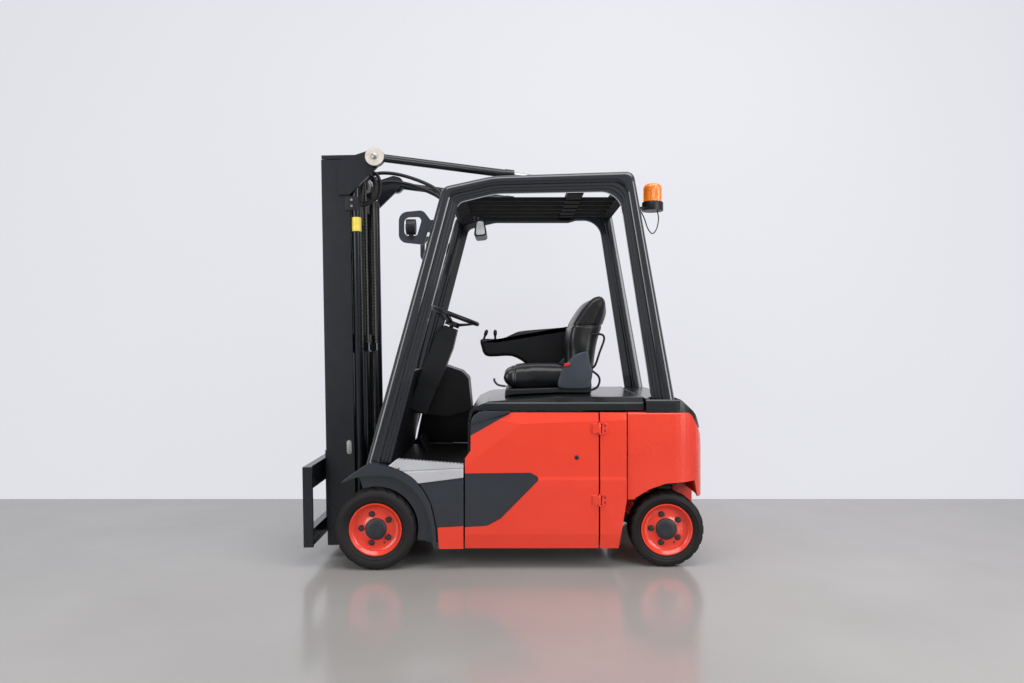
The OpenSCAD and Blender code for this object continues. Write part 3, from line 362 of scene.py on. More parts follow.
def quads(n: int, m: int, loop_u: bool, loop_v: bool) -> Array:
    """Faces of an n by m grid: each cell takes its own corner and the next ones, wrapped where it closes.

    Args:
        n: points along u.
        m: points along v.
        loop_u: whether u closes.
        loop_v: whether v closes.

    Returns:
        Corner numbers, four to a face.
    """
    i = np.arange(n if loop_u else n - 1)[:, None]
    j = np.arange(m if loop_v else m - 1)[None, :]
    a, b = i * m, (i + 1) % n * m
    k = (j + 1) % m
    return np.stack(np.broadcast_arrays(a + j, b + j, b + k, a + k), -1).reshape(-1, 4)


def catmull(points: ArrayLike, n: int, loop: bool = False) -> Array:
    """Smooth line through points: a cubic whose slope at a point is half the step between its neighbours.

    Args:
        points: points to pass through.
        n: new points for each span.
        loop: whether the line closes.

    Returns:
        Points on the line.
    """
    p = np.asarray(points, float)
    k = len(p)
    i = np.arange(k if loop else k - 1)
    near = np.arange(-1, 3)[:, None] + i
    near = near % k if loop else np.clip(near, 0, k - 1)
    a, b, c, d = p[near][:, :, None, :]
    t = (np.arange(n) / n)[None, :, None]
    square = a - 2.5 * b + 2 * c - d / 2
    cube = 1.5 * b - a / 2 - 1.5 * c + d / 2
    line = b + t * ((c - a) / 2 + t * (square + t * cube))
    line = line.reshape(-1, p.shape[1])
    return line if loop else np.vstack([line, p[-1:]])


def rounded(points: ArrayLike, radii: ArrayLike, n: int, loop: bool) -> Array:
    """Line with each corner replaced by an arc that touches both its sides.

    Args:
        points: corners.
        radii: arc radius of each corner, zero for a sharp one.
        n: steps on each arc.
        loop: whether the line closes.

    Returns:
        Points on the line, n + 1 for each rounded corner.
    """
    p, out = np.asarray(points, float), []
    for i, r in enumerate(np.asarray(radii, float)):
        if r == 0 or (not loop and i in (0, len(p) - 1)):
            out.append(p[i : i + 1])
            continue
        u, v = p[i - 1] - p[i], p[(i + 1) % len(p)] - p[i]
        u, v = u / np.linalg.norm(u), v / np.linalg.norm(v)
        half = math.acos(float(np.clip(u @ v, -1, 1))) / 2
        mid = p[i] + (u + v) / np.linalg.norm(u + v) * r / math.sin(half)
        a, b = p[i] + u * r / math.tan(half) - mid, p[i] + v * r / math.tan(half) - mid
        a0 = math.atan2(a[1], a[0])
        turn = (math.atan2(b[1], b[0]) - a0 + math.pi) % (2 * math.pi) - math.pi
        t = a0 + turn * np.linspace(0, 1, n + 1)
        out.append(mid + r * np.column_stack([np.cos(t), np.sin(t)]))
    return np.vstack(out)


@dataclass
class Shape:
    """A closed surface in axle millimetres, and how it becomes an object."""

    points: Array
    faces: list[list[int]]

    @classmethod
    def surface(cls, grid: Array, loop_u: bool = False, loop_v: bool = True, caps: bool = True) -> "Shape":
        """Surface through a grid of points, with flat ends where u is open.

        Args:
            grid: points by u and v.
            loop_u: whether u closes.
            loop_v: whether v closes.
            caps: whether the first and last row are closed by a face.

        Returns:
            The shape.
        """
        n, m = grid.shape[:2]
        faces = quads(n, m, loop_u, loop_v).tolist()
        if caps and not loop_u:
            faces += [list(range(m))[::-1], [(n - 1) * m + j for j in range(m)]]
        return cls(grid.reshape(-1, 3), faces)

    @classmethod
    def tube(cls, path: ArrayLike, radius: ArrayLike, sides: int = 14, ref: ArrayLike = (0, 1, 0)) -> "Shape":
        """Round bar: a circle square to the path's direction, turned from a reference direction.

        Args:
            path: centre line.
            radius: one radius, or one for each point.
            sides: points around.
            ref: a direction that the path never follows.

        Returns:
            The shape.
        """
        p = np.asarray(path, float)
        t = np.gradient(p, axis=0)
        t /= np.linalg.norm(t, axis=1)[:, None]
        b = np.asarray(ref, float) - t * (t @ np.asarray(ref, float))[:, None]
        b /= np.linalg.norm(b, axis=1)[:, None]
        n = np.cross(b, t)
        a = np.linspace(0, 2 * np.pi, sides, endpoint=False)[None, :, None]
        r = np.broadcast_to(np.asarray(radius, float), len(p))[:, None, None]
        return cls.surface(p[:, None, :] + r * (np.cos(a) * b[:, None, :] + np.sin(a) * n[:, None, :]))

    @classmethod
    def lathe(cls, profile: ArrayLike, centre: ArrayLike, axis: str = "y", count: int = 72) -> "Shape":
        """Turned piece: each profile point goes once around the axis at its radius and station.

        Args:
            profile: radius and station along the axis.
            centre: point that the stations count from.
            axis: x, y or z.
            count: steps around.

        Returns:
            The shape.
        """
        r, s = np.asarray(profile, float).T
        a = np.linspace(0, 2 * np.pi, count, endpoint=False)
        c, d = r[:, None] * np.cos(a), r[:, None] * np.sin(a)
        along = np.broadcast_to(s[:, None], c.shape)
        order = {"x": (along, c, d), "y": (d, along, c), "z": (c, d, along)}[axis]
        return cls.surface(np.stack(order, -1) + np.asarray(centre, float))

    @classmethod
    def plate(cls, outline: ArrayLike, y0: float, y1: float, edge: float, steps: int = 5) -> "Shape":
        """Outline in X and Z carried along Y with round edges: a ring steps in by edge times one minus a sine.

        Args:
            outline: closed outline.
            y0: near end.
            y1: far end.
            edge: edge radius.
            steps: steps on each rounded edge.

        Returns:
            The shape.
        """
        p = np.asarray(outline, float)
        side = np.roll(p, -1, 0) - p
        side /= np.maximum(np.linalg.norm(side, axis=1), 1e-9)[:, None]
        bis = side + np.roll(side, 1, 0)
        normal = np.column_stack([-bis[:, 1], bis[:, 0]])
        normal /= np.maximum(np.linalg.norm(normal, axis=1), 1e-9)[:, None]
        area = np.sum(p[:, 0] * np.roll(p[:, 1], -1) - p[:, 1] * np.roll(p[:, 0], -1))
        normal *= np.sign(area)
        a = np.linspace(0, np.pi / 2, steps + 1)
        inset = edge * np.concatenate([1 - np.sin(a), (1 - np.sin(a))[::-1]])
        y = np.concatenate([y0 + edge * (1 - np.cos(a)), (y1 - edge * (1 - np.cos(a)))[::-1]])
        ring = p[None] + inset[:, None, None] * normal[None]
        grid = np.stack([ring[..., 0], np.broadcast_to(y[:, None], ring.shape[:2]), ring[..., 1]], -1)
        return cls.surface(grid)

    @classmethod
    def boxes(cls, low: ArrayLike, high: ArrayLike) -> "Shape":
        """Returns many upright boxes in one shape, each corner taken from its low or its high end."""
        lo, hi = np.atleast_2d(np.asarray(low, float)), np.atleast_2d(np.asarray(high, float))
        pick = np.array([[(i >> k) & 1 for k in range(3)] for i in range(8)], float)
        pts = lo[:, None] + pick[None] * (hi - lo)[:, None]
        face = np.array([[0, 2, 3, 1], [4, 5, 7, 6], [0, 1, 5, 4], [2, 6, 7, 3], [0, 4, 6, 2], [1, 3, 7, 5]])
        faces = (np.arange(len(lo))[:, None, None] * 8 + face[None]).reshape(-1, 4)
        return cls(pts.reshape(-1, 3), faces.tolist())

    @classmethod
    def join(cls, *shapes: "Shape") -> "Shape":
        """Returns one shape with the faces of several."""
        start = np.cumsum([0] + [len(s.points) for s in shapes])
        faces = [[i + k for i in f] for s, k in zip(shapes, start.tolist()) for f in s.faces]
        return cls(np.vstack([s.points for s in shapes]), faces)

    def mirrored(self) -> "Shape":
        """Returns the same shape on the other side of the truck."""
        return Shape(self.points * (1, -1, 1), [f[::-1] for f in self.faces])

    def leaned(self) -> "Shape":
        """Returns the shape turned with the parked mast about the front axle."""
        return Shape(lean(self.points), self.faces)

    def make(self, name: str, paint: Paint, body: str | None, crease: float = 40.0) -> bpy.types.Object:
        """Makes the object, closes its seams and points its faces outward.

        Args:
            name: object name.
            paint: its finish.
            body: the body that it rides on, or none where it bends between two.
            crease: edges sharper than this many degrees stay sharp.

        Returns:
            The object.
        """
        mesh = bpy.data.meshes.new(name)
        mesh.from_pydata(((self.points + (FRONT_X, 0, 0)) * MM).tolist(), [], self.faces)
        work = bmesh.new()
        work.from_mesh(mesh)
        bmesh.ops.remove_doubles(work, verts=work.verts, dist=1e-6)
        bmesh.ops.recalc_face_normals(work, faces=work.faces)
        work.to_mesh(mesh)
        work.free()
        mesh.polygons.foreach_set("use_smooth", np.ones(len(mesh.polygons), bool))
        mesh.set_sharp_from_angle(angle=math.radians(crease))
        mesh.materials.append(paint.material())
        obj = bpy.data.objects.new(name, mesh)
        bpy.context.scene.collection.objects.link(obj)
        if body:
            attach(obj, body)
        LOG.info("%s: %d faces", name, len(mesh.polygons))
        return obj


def lean(points: ArrayLike) -> Array:
    """Returns upright mast points turned with the parked mast about the front axle."""
    p = np.asarray(points, float)
    c, s = math.cos(MAST_LEAN), math.sin(MAST_LEAN)
    x, z = p[..., 0], p[..., 2] - AXLE_Z
    return np.stack([x * c + z * s, p[..., 1], AXLE_Z + z * c - x * s], -1)


def both(shape: Shape) -> Shape:
    """Returns a left-side shape together with its twin on the right."""
    return Shape.join(shape, shape.mirrored())


def read(mesh: bpy.types.Mesh, word: str) -> Array:
    """Returns each vertex's place (co) or direction (normal) as rows of three."""
    flat = np.empty(len(mesh.vertices) * 3)
    mesh.vertices.foreach_get(word, flat)
    return flat.reshape(-1, 3)


def place(mesh: bpy.types.Mesh, points: Array) -> None:
    """Moves each vertex to its row of points."""
    mesh.vertices.foreach_set("co", points.ravel())
    mesh.update()


@dataclass
class GuardFrames:
    """The overhead guard's side frames, each swept as one tube over front pillar, roof beam and rear pillar.

    The edge lines are corners in X and Z. The section is shares of the way inward and of the width.
    """

    outer: ArrayLike = (
        (62, 512), (-331, GUARD_H - 80), (-590, GUARD_H - 24), (-1306, GUARD_H), (-1527, 790),
    )
    inner: ArrayLike = (
        (-62, 512), (-413, GUARD_H - 158), (-600, GUARD_H - 112), (-1235, GUARD_H - 101), (-1409, 790),
    )
    outer_radii: ArrayLike = (0, 50, 500, 42, 0)
    inner_radii: ArrayLike = (0, 45, 400, 110, 0)
    section: ArrayLike = (
        (0, 0.5), (0.03, 0.76), (0.11, 0.93), (0.24, 1), (0.42, 0.97), (0.54, 0.9), (0.58, 0.78), (0.71, 0.76),
        (0.73, 0.68), (0.85, 0.66), (0.87, 0.58), (1, 0.56), (1, 0.3), (0.62, 0.24), (0.58, 0.06), (0.3, 0),
        (0.1, 0.06), (0.02, 0.24),
    )
    inside_y: float = 425.0
    width: float = 75.0
    arc_steps: int = 24
    section_steps: int = 6
    crease: float = 32.0

    def sweep(self) -> Shape:
        """Returns the left frame: the section carried along both edge lines, at its share of the way inward.

        The section's round front (its last two and first six points) runs as one smooth line, and its steps
        stay sharp.
        """
        a = rounded(self.outer, self.outer_radii, self.arc_steps, False)
        b = rounded(self.inner, self.inner_radii, self.arc_steps, False)
        s = np.asarray(self.section, float)
        s = np.vstack([catmull(np.vstack([s[-2:], s[:6]]), self.section_steps), s[6:-2]])
        p = a[:, None] + s[None, :, :1] * (b - a)[:, None]
        y = np.broadcast_to(self.inside_y + self.width * s[:, 1], p.shape[:2])
        return Shape.surface(np.stack([p[..., 0], y, p[..., 1]], -1))

    def build(self) -> None:
        """Makes both frames in place of the frame's own."""
        left = self.sweep()
        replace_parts(left.make("guard_tube_left", Paint.GUARD, "truck", self.crease), "guard_left")
        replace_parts(left.mirrored().make("guard_tube_right", Paint.GUARD, "truck", self.crease), "guard_right")


@dataclass
class Wheel:
    """One wheel: a solid tyre with lugs, and the dark cap and nuts on the rim."""

    body: str
    tyre_node: str
    centre: tuple[float, float, float]
    half: float
    radius: float
    seat: float
    face: float
    side: float = 1.0
    lugs: int = 22
    groove: float = 6.0
    slant: float = 5.0
    shoulder: float = 29.0
    cap_r: float = 54.0
    nuts: int = 5
    first_nut: float = 0.3
    nut_circle: float = 75.0
    nut_r: float = 12.0
    valve: tuple[float, float] = (-41.0, -72.0)
    turns: int = 264
    crease: float = 28.0

    def tyre(self) -> Shape:
        """Returns a turned tyre whose shoulder sinks in slanted grooves, deep at the edge, gone mid tread."""
        a, r, s, w = self.half, self.radius, self.seat, self.shoulder
        edge = np.array([
            (s, 21 - a), (s + 11, 17 - a), (s + 20, 9 - a), (s + 26, 5 - a), (s + 29, 6.5 - a), (s + 32, 4 - a),
            (r - 31, -a), (r - 22, 2 - a), (r - 13, 5 - a), (r - 8, 9 - a), (r - 3, 15 - a), (r - 1, 22 - a),
            (r, w - a),
        ])
        mid = np.column_stack([np.full(9, r), np.linspace(w - a, a - w, 11)[1:-1]])
        profile = np.vstack([edge, mid, edge[::-1] * (1, -1)])
        t = np.linspace(0, 2 * np.pi, self.turns, endpoint=False)
        across = np.abs(profile[:, 1]) / a
        # Grooves begin 9 mm below the tread and fade out toward its middle
        reach = np.clip((profile[:, 0] - (r - 9)) / 7, 0, 1) * np.clip((across - 0.12) / 0.25, 0, 1)
        half_turn = np.where(profile[:, 1:] > 0, math.pi, 0.0)
        phase = self.lugs * t[None] + self.slant * across[:, None] + half_turn
        cut = np.clip((np.cos(phase) - 0.5) / 0.25, 0, 1) * reach[:, None] * self.groove
        rad = profile[:, :1] - cut
        y = np.broadcast_to(profile[:, 1:], rad.shape)
        grid = np.stack([rad * np.sin(t), y, rad * np.cos(t)], -1) + np.asarray(self.centre)
        return Shape.surface(grid, loop_u=True)

    def outward(self, profile: ArrayLike, at: ArrayLike, count: int = 48) -> Shape:
        """Turned piece on the wheel's outer side.

        Args:
            profile: radius and distance out from the wheel's middle.
            at: offset of its axis in X and Z.
            count: steps around.

        Returns:
            The shape.
        """
        x, z = at
        p = np.asarray(profile, float) * (1, self.side)
        return Shape.lathe(p, np.asarray(self.centre) + (x, 0, z), "y", count)

    def build(self) -> None:
        """Makes the tyre, the hub cap, the nuts and the small valve hole."""
        name = self.body.replace("wheel_", "")
        tyre = self.tyre().make(f"lugged_tyre_{name}", Paint.TYRE, self.body, self.crease)
        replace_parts(tyre, self.tyre_node)
        f, c, n = self.face, self.cap_r, self.nut_r
        cap = [
            (0, f - 26), (c, f - 26), (c, f - 13), (c - 2, f - 10), (c - 8, f - 6.5), (c - 30, f - 5.2),
            (0, f - 5),
        ]
        parts = [self.outward(cap, (0, 0), 72)]
        turn = np.arange(self.nuts) * 2 * np.pi / self.nuts + self.first_nut
        nut = [(0, f - 34), (n, f - 34), (n, f - 19), (n - 2.5, f - 17), (0, f - 17)]
        washer = [(0, f - 34), (n + 4, f - 34), (n + 4, f - 28.5), (0, f - 28.5)]
        for x, z in self.nut_circle * np.column_stack([np.sin(turn), np.cos(turn)]):
            parts += [self.outward(nut, (x, z), 6), self.outward(washer, (x, z), 24)]
        valve = [(0, f - 36), (5, f - 36), (5, f - 29.5), (0, f - 29.5)]
        parts.append(self.outward(valve, self.valve, 20))
        Shape.join(*parts).make(f"hub_cap_and_nuts_{name}", Paint.BOLT, self.body)


@dataclass
class Seat:
    """Driver's seat on the hood: base, slate side covers, and two upholstered cushions."""

    half: float = 233.0
    cushion: ArrayLike = (
        (-690, 903), (-650, 912), (-632, 946), (-648, 982), (-700, 994), (-800, 1000), (-900, 1001),
        (-990, 1002), (-1012, 985), (-1014, 930), (-1000, 906), (-850, 903),
    )
    back: ArrayLike = (
        (-1040, 906), (-1024, 960), (-1016, 1060), (-1012, 1147), (-1025, 1228), (-1073, 1310), (-1136, 1380),
        (-1181, 1397), (-1207, 1376), (-1194, 1319), (-1163, 1238), (-1135, 1150), (-1118, 1040), (-1116, 960),
        (-1100, 906),
    )
    base: ArrayLike = (
        (-646, 846), (-650, 882), (-664, 890), (-1105, 903), (-1118, 898), (-1116, 865), (-933, 865),
        (-700, 855),
    )
    cover: ArrayLike = (
        (-934, 912), (-939, 950), (-961, 1005), (-1010, 1062), (-1042, 1084), (-1070, 1092), (-1096, 1091),
        (-1107, 1032), (-1120, 985), (-1114, 935), (-1102, 896), (-960, 894),
    )
    hoop: ArrayLike = (
        (-1112, 196, 1186), (-1150, 200, 1188), (-1180, 200, 1184), (-1189, 200, 1158), (-1165, 200, 1090),
        (-1138, 200, 1015), (-1105, 200, 1000),
    )
    conduit: ArrayLike = (
        (-1095, 222, 1000), (-1124, 222, 986), (-1154, 222, 962), (-1162, 222, 934), (-1150, 222, 902),
        (-1122, 222, 886), (-1090, 222, 884),
    )
    cover_out: tuple[float, float] = (-2.0, 27.0)
    latch_out: tuple[float, float] = (24.0, 33.0)
    latch: ArrayLike = ((-962, 1011), (-998, 1020), (-1002, 1036), (-968, 1030))
    handle: ArrayLike = ((-650, 215, 905), (-612, 222, 912), (-592, 225, 932), (-590, 226, 948))
    wire_r: float = 6.0
    bolster_y: float = 148.0
    cushion_seam: float = -700.0
    back_seam: float = 1235.0
    seam_width: float = 5.5
    seam_depth: float = 6.0
    crown: float = 9.0
    crown_run: float = 50.0
    fill: float = 0.7
    ease: float = 0.985
    tuck: float = 6.0
    roll: float = 40.0
    voxel: float = 6.0
    pressure: float = 4.0
    frames: int = 20
    cap: float = 24.0
    spread: int = 40
    settle: int = 10

    def inflate(self, obj: bpy.types.Object) -> None:
        """Remeshes a stuffed piece evenly and fills it with air.

        Each point stays near where it started, and the moves are evened over their neighbours as foam under
        the cover does.

        Args:
            obj: the closed piece.
        """
        remesh = obj.modifiers.new("even_mesh", "REMESH")
        remesh.mode, remesh.voxel_size = "VOXEL", self.voxel * MM
        graph = bpy.context.evaluated_depsgraph_get()
        old, mesh = obj.data, bpy.data.meshes.new_from_object(obj.evaluated_get(graph))
        obj.modifiers.clear()
        obj.data = mesh
        bpy.data.meshes.remove(old)
        start = self.even(mesh, read(mesh, "co"), self.settle)
        place(mesh, start)
        cloth = obj.modifiers.new("air", "CLOTH")
        cloth.settings.use_pressure = True
        cloth.settings.uniform_pressure_force = self.pressure
        cloth.settings.effector_weights.gravity = 0.0
        cloth.point_cache.frame_start, cloth.point_cache.frame_end = 1, self.frames
        scene = bpy.context.scene
        for step in range(1, self.frames + 1):
            scene.frame_set(step)
        graph = bpy.context.evaluated_depsgraph_get()
        move = read(obj.evaluated_get(graph).data, "co") - start
        obj.modifiers.clear()
        scene.frame_set(1)
        size = np.linalg.norm(move, axis=1)[:, None]
        move *= np.minimum(1.0, self.cap * MM / np.maximum(size, 1e-9))
        place(mesh, start + self.even(mesh, move, self.spread))

    def even(self, mesh: bpy.types.Mesh, values: Array, rounds: int) -> Array:
        """Averages a value at each vertex with those at the far ends of its edges, round after round.

        Args:
            mesh: the mesh.
            values: three numbers for each vertex.
            rounds: how often.

        Returns:
            The evened values.
        """
        ends = np.empty(len(mesh.edges) * 2, int)
        mesh.edges.foreach_get("vertices", ends)
        a, b = ends.reshape(-1, 2).T
        count = np.bincount(ends, minlength=len(values))[:, None]
        for _ in range(rounds):
            near = np.zeros_like(values)
            for k in range(3):
                v = values[:, k]
                near[:, k] = np.bincount(a, v[b], len(v)) + np.bincount(b, v[a], len(v))
            values = (values + near) / (1 + count)
        return values

    def upholster(self, name: str, outline: ArrayLike, node: str, seams: list[tuple[int, float]]) -> None:
        """Makes one cushion: rounded form, air, seams sunk along lines, raised bolsters, one subdivision.

        Each seam sinks by a bell curve of the distance from it, and the crown rises from the bolster seam out.

        Args:
            name: object name.
            outline: side outline.
            node: the frame node that it stands for.
            seams: axis number and place of each seam in millimetres.
        """
        line = catmull(outline, 8, True)
        middle = (line.max(0) + line.min(0)) / 2
        line = middle + (line - middle) * self.ease
        side = self.half - self.tuck
        obj = Shape.plate(line, -side, side, self.roll, 9).make(name, Paint.SEAT, None)
        self.inflate(obj)
        mesh = obj.data
        co, no = read(mesh, "co") / MM - (FRONT_X, 0, 0), read(mesh, "normal")
        out = np.abs(co[:, 1])
        dip = sum(np.exp(-(((out if k == 1 else co[:, k]) - s) / self.seam_width) ** 2) for k, s in seams)
        rise = np.clip((out - self.bolster_y) / self.crown_run, 0, 1) * np.clip(no[:, 2] + no[:, 0], 0, 1)
        co = co + no * (self.crown * rise - self.seam_depth * np.clip(dip, 0, 1))[:, None]
        mesh.polygons.foreach_set("use_smooth", np.ones(len(mesh.polygons), bool))
        place(mesh, (co + (FRONT_X, 0, 0)) * MM)
        if not mesh.materials:
            mesh.materials.append(Paint.SEAT.material())
        sub = obj.modifiers.new("soft", "SUBSURF")
        sub.levels = sub.render_levels = 1
        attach(obj, "hood")
        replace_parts(obj, node)

    def build(self) -> None:
        """Makes the base, the covers, the cushions and the small fittings."""
        side = self.half
        base = Shape.plate(rounded(self.base, [6] * 8, 4, True), -side, side, 8.0)
        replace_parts(base.make("seat_plinth", Paint.BLACK, "hood"), "seat_base")
        cover = Shape.plate(catmull(self.cover, 4, True), *np.add(self.cover_out, side), 9.0)
        both(cover).make("seat_side_covers", Paint.SLATE, "hood")
        bolster = (1, self.bolster_y)
        self.upholster("seat_cushion_vinyl", self.cushion, "seat_cushion", [bolster, (0, self.cushion_seam)])
        self.upholster("seat_back_vinyl", self.back, "seat_back", [bolster, (2, self.back_seam)])
        both(Shape.tube(catmull(self.hoop, 6), self.wire_r)).make("seat_back_hoops", Paint.BLACK, "hood")
        Shape.tube(catmull(self.conduit, 6), self.wire_r).make("seat_switch_conduit", Paint.RUBBER, "hood")
        latch = Shape.plate(rounded(self.latch, [5] * 4, 4, True), *np.add(self.latch_out, side), 3.0)
        latch.make("seat_belt_latch", Paint.LATCH, "hood")
        Shape.tube(catmull(self.handle, 6), self.wire_r).make("seat_slide_handle", Paint.SLATE, "hood")


@dataclass
class ControlArm:
    """Armrest beside the seat with its small levers, each given by its X and its slope above the bend."""

    outline: ArrayLike = (
        (-493, 1157), (-500, 1110), (-512, 1076), (-536, 1058), (-580, 1056), (-676, 1059), (-737, 1035),
        (-798, 994), (-900, 972), (-1055, 962), (-1064, 1100), (-1062, 1228), (-1045, 1237), (-900, 1226),
        (-745, 1212), (-690, 1194), (-643, 1173), (-585, 1164), (-530, 1165),
    )
    y0: float = -341.0
    y1: float = -261.0
    edge: float = 22.0
    levers: ArrayLike = ((-514.0, -0.35), (-583.0, 0.0))
    lever_y: float = -301.0
    lever_r: ArrayLike = (7, 7, 7, 8.5, 11, 11.5, 10, 5.5, 1)
    lever_z: ArrayLike = (1140, 1165, 1180, 1186, 1192, 1204, 1214, 1219, 1221)
    bend_z: float = 1165.0
    bend_run: float = 60.0

    def build(self) -> None:
        """Makes the arm's pad and two bent levers with knobs."""
        arm = Shape.plate(catmull(self.outline, 4, True), self.y0, self.y1, self.edge, 7)
        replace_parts(arm.make("control_arm", Paint.BLACK, "hood"), "armrest")
        z = np.asarray(self.lever_z, float)
        for i, (x, slope) in enumerate(self.levers):
            along = x + slope * np.clip(z - self.bend_z, 0, self.bend_run)
            path = np.column_stack([along, np.full(len(z), self.lever_y), z])
            Shape.tube(path, self.lever_r, 18).make(f"finger_lever_{i + 1}", Paint.BLACK, "hood")


@dataclass
class MastTrim:
    """Small pieces on the mast: tilt pin discs, sleeve, brackets, bolts, wear plates and hoses."""

    pin: tuple[float, float] = (33.4, 2117.7)
    eye_y: float = 372.0
    lift: tuple[float, float] = (118.0, 289.0)
    sleeve: ArrayLike = ((24.4, 1737), (26, 1738), (26, 1811), (24.4, 1812))
    web_y: float = 315.0
    bracket: ArrayLike = ((100, 1846), (170, 1846), (170, 1922), (100, 1922))
    bolt_x: float = 134.0
    bolt_zs: tuple[float, ...] = (1868.0, 1900.0)
    wear_plate: ArrayLike = ((158, 553), (184, 553), (184, 627), (158, 627))
    hose_x: float = 113.7
    hose_top: float = 1990.0
    hose_ys: tuple[float, ...] = (-205.0, -172.0, 60.0)
    hose_r: float = 10.0
    bend_from: tuple[float, float, float] = (FRONT_X - 335, 0, GUARD_H - 120)
    bend_to: tuple[float, float, float] = (FRONT_X + 120, 0, GUARD_H + 20)
    loop_r: float = 9.0
    loops: tuple[tuple[float, ArrayLike], ...] = (
        (262.0, ((100, 1800), (96, 1900), (84, 1990), (60, 2034), (30, 2030), (14, 1990), (20, 1930),
                 (60, 1890), (110, 1880))),
        (236.0, ((104, 1780), (98, 1930), (80, 2030), (48, 2064), (12, 2050), (-4, 2000), (6, 1940),
                 (46, 1906), (100, 1900))),
    )

    def build(self) -> None:
        """Makes the trim on both sides of the mast and the hoses over the gap to the roof."""
        at, y, w = (self.pin[0], 0, self.pin[1]), self.eye_y, self.web_y
        disc = [(20, y + 0.3), (49, y + 0.3), (50, y + 1.5), (49, y + 3.5), (26, y + 4.5), (20, y + 4.5)]
        both(Shape.lathe(disc, at)).make("tilt_pin_discs", Paint.CREAM, "tilt_barrels")
        bolt = [(0, y + 3.8), (16, y + 3.8), (16, y + 12), (13, y + 14), (0, y + 14)]
        both(Shape.lathe(bolt, at, "y", 6)).make("tilt_pin_bolts", Paint.STEEL, "mast")
        sleeve = Shape.lathe(self.sleeve, (*self.lift, 0), "z", 48)
        sleeve.leaned().make("barrel_sleeve", Paint.YELLOW, "mast")
        bracket = Shape.plate(rounded(self.bracket, [8] * 4, 3, True), w, w + 7, 2.0)
        both(bracket).leaned().make("barrel_brackets", Paint.BLACK, "mast")
        head = [(0, w + 6), (8, w + 6), (8, w + 13), (6.5, w + 15), (0, w + 15)]
        heads = [Shape.lathe(head, (self.bolt_x, 0, z), "y", 6) for z in self.bolt_zs]
        both(Shape.join(*heads)).leaned().make("bracket_bolts", Paint.STEEL, "mast")
        plate = Shape.plate(rounded(self.wear_plate, [13] * 4, 8, True), w, w + 1, 0.5)
        both(plate).leaned().make("web_wear_plates", Paint.STEEL, "mast")
        self.hoses()

    def hoses(self) -> None:
        """Makes the hoses that bend between the mast and the roof, and the loops beside the mast's top."""
        routes, x, z = [], self.hose_x, self.hose_top
        for y in self.hose_ys:
            up = lean([(x, y, z + 1), (x - 4, y, z + 60), (x - 70, y, z + 108), (x - 210, y, z + 96)])
            rest = [(-235, y, GUARD_H + 6), (-318, y, GUARD_H - 80), (-340, y, GUARD_H - 124)]
            routes.append(Shape.tube(catmull(np.vstack([up, rest]), 10), self.hose_r, 16))
        hoses = Shape.join(*routes).make("bending_hoses", Paint.RUBBER, None)
        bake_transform(hoses)
        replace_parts(hoses, "supply_hoses")
        paths = [catmull([(px, y, pz) for px, pz in line], 8) for y, line in self.loops]
        tubes = Shape.join(*[Shape.tube(path, self.loop_r) for path in paths])
        tubes.leaned().make("mast_top_hose_loops", Paint.RUBBER, "mast")


@dataclass
class Beacon:
    """Flashing lamp behind the guard with its hanging lead."""

    centre: tuple[float, float, float] = (-1435.0, 300.0, GUARD_H - 130)
    wall: ArrayLike = ((0.01, 0), (47, 0), (48, 3), (48, 8), (48, 40), (48, 74))
    top: ArrayLike = ((12, 101), (0.01, 101))
    round_r: float = 22.0
    round_at: tuple[float, float] = (26.0, 79.0)
    ribs: int = 40
    rib_depth: float = 1.4
    collar: ArrayLike = ((46, -3), (53, -3), (53, 3), (49, 5), (46, 5))
    lead: ArrayLike = (
        (-1460, 300, GUARD_H - 173), (-1466, 305, GUARD_H - 215), (-1452, 325, GUARD_H - 270),
        (-1425, 350, GUARD_H - 300), (-1395, 385, GUARD_H - 280), (-1370, 418, GUARD_H - 232),
        (-1347, 440, GUARD_H - 196),
    )

    def lens(self) -> Shape:
        """Returns a turned dome whose wall waves in and out once for each rib."""
        arc = np.linspace(0, np.pi / 2, 8)
        corner = self.round_at + self.round_r * np.column_stack([np.cos(arc), np.sin(arc)])
        line = np.vstack([self.wall, corner, self.top])
        t = np.linspace(0, 2 * np.pi, self.ribs * 6, endpoint=False)
        ribbed = ((line[:, 1] > 5) & (line[:, 1] < 76))[:, None]
        wave = self.rib_depth * (0.5 + 0.5 * np.cos(self.ribs * t))
        rad = line[:, :1] - np.where(ribbed, wave, 0.0)
        z = np.broadcast_to(line[:, 1:], rad.shape)
        return Shape.surface(np.stack([rad * np.cos(t), rad * np.sin(t), z], -1) + np.asarray(self.centre))

    def build(self) -> None:
        """Makes the lens, its collar and the lead."""
        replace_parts(self.lens().make("ribbed_lens", Paint.AMBER, "truck", 30.0), "beacon_lens")
        Shape.lathe(self.collar, self.centre, "z", 64).make("lens_collar", Paint.BLACK, "truck")
        path = catmull(self.lead, 8)
        obj = Shape.tube(path, 3.0, 12, (0.3, 1, 0.2)).make("beacon_cable", Paint.RUBBER, "truck")
        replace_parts(obj, "beacon_lead")


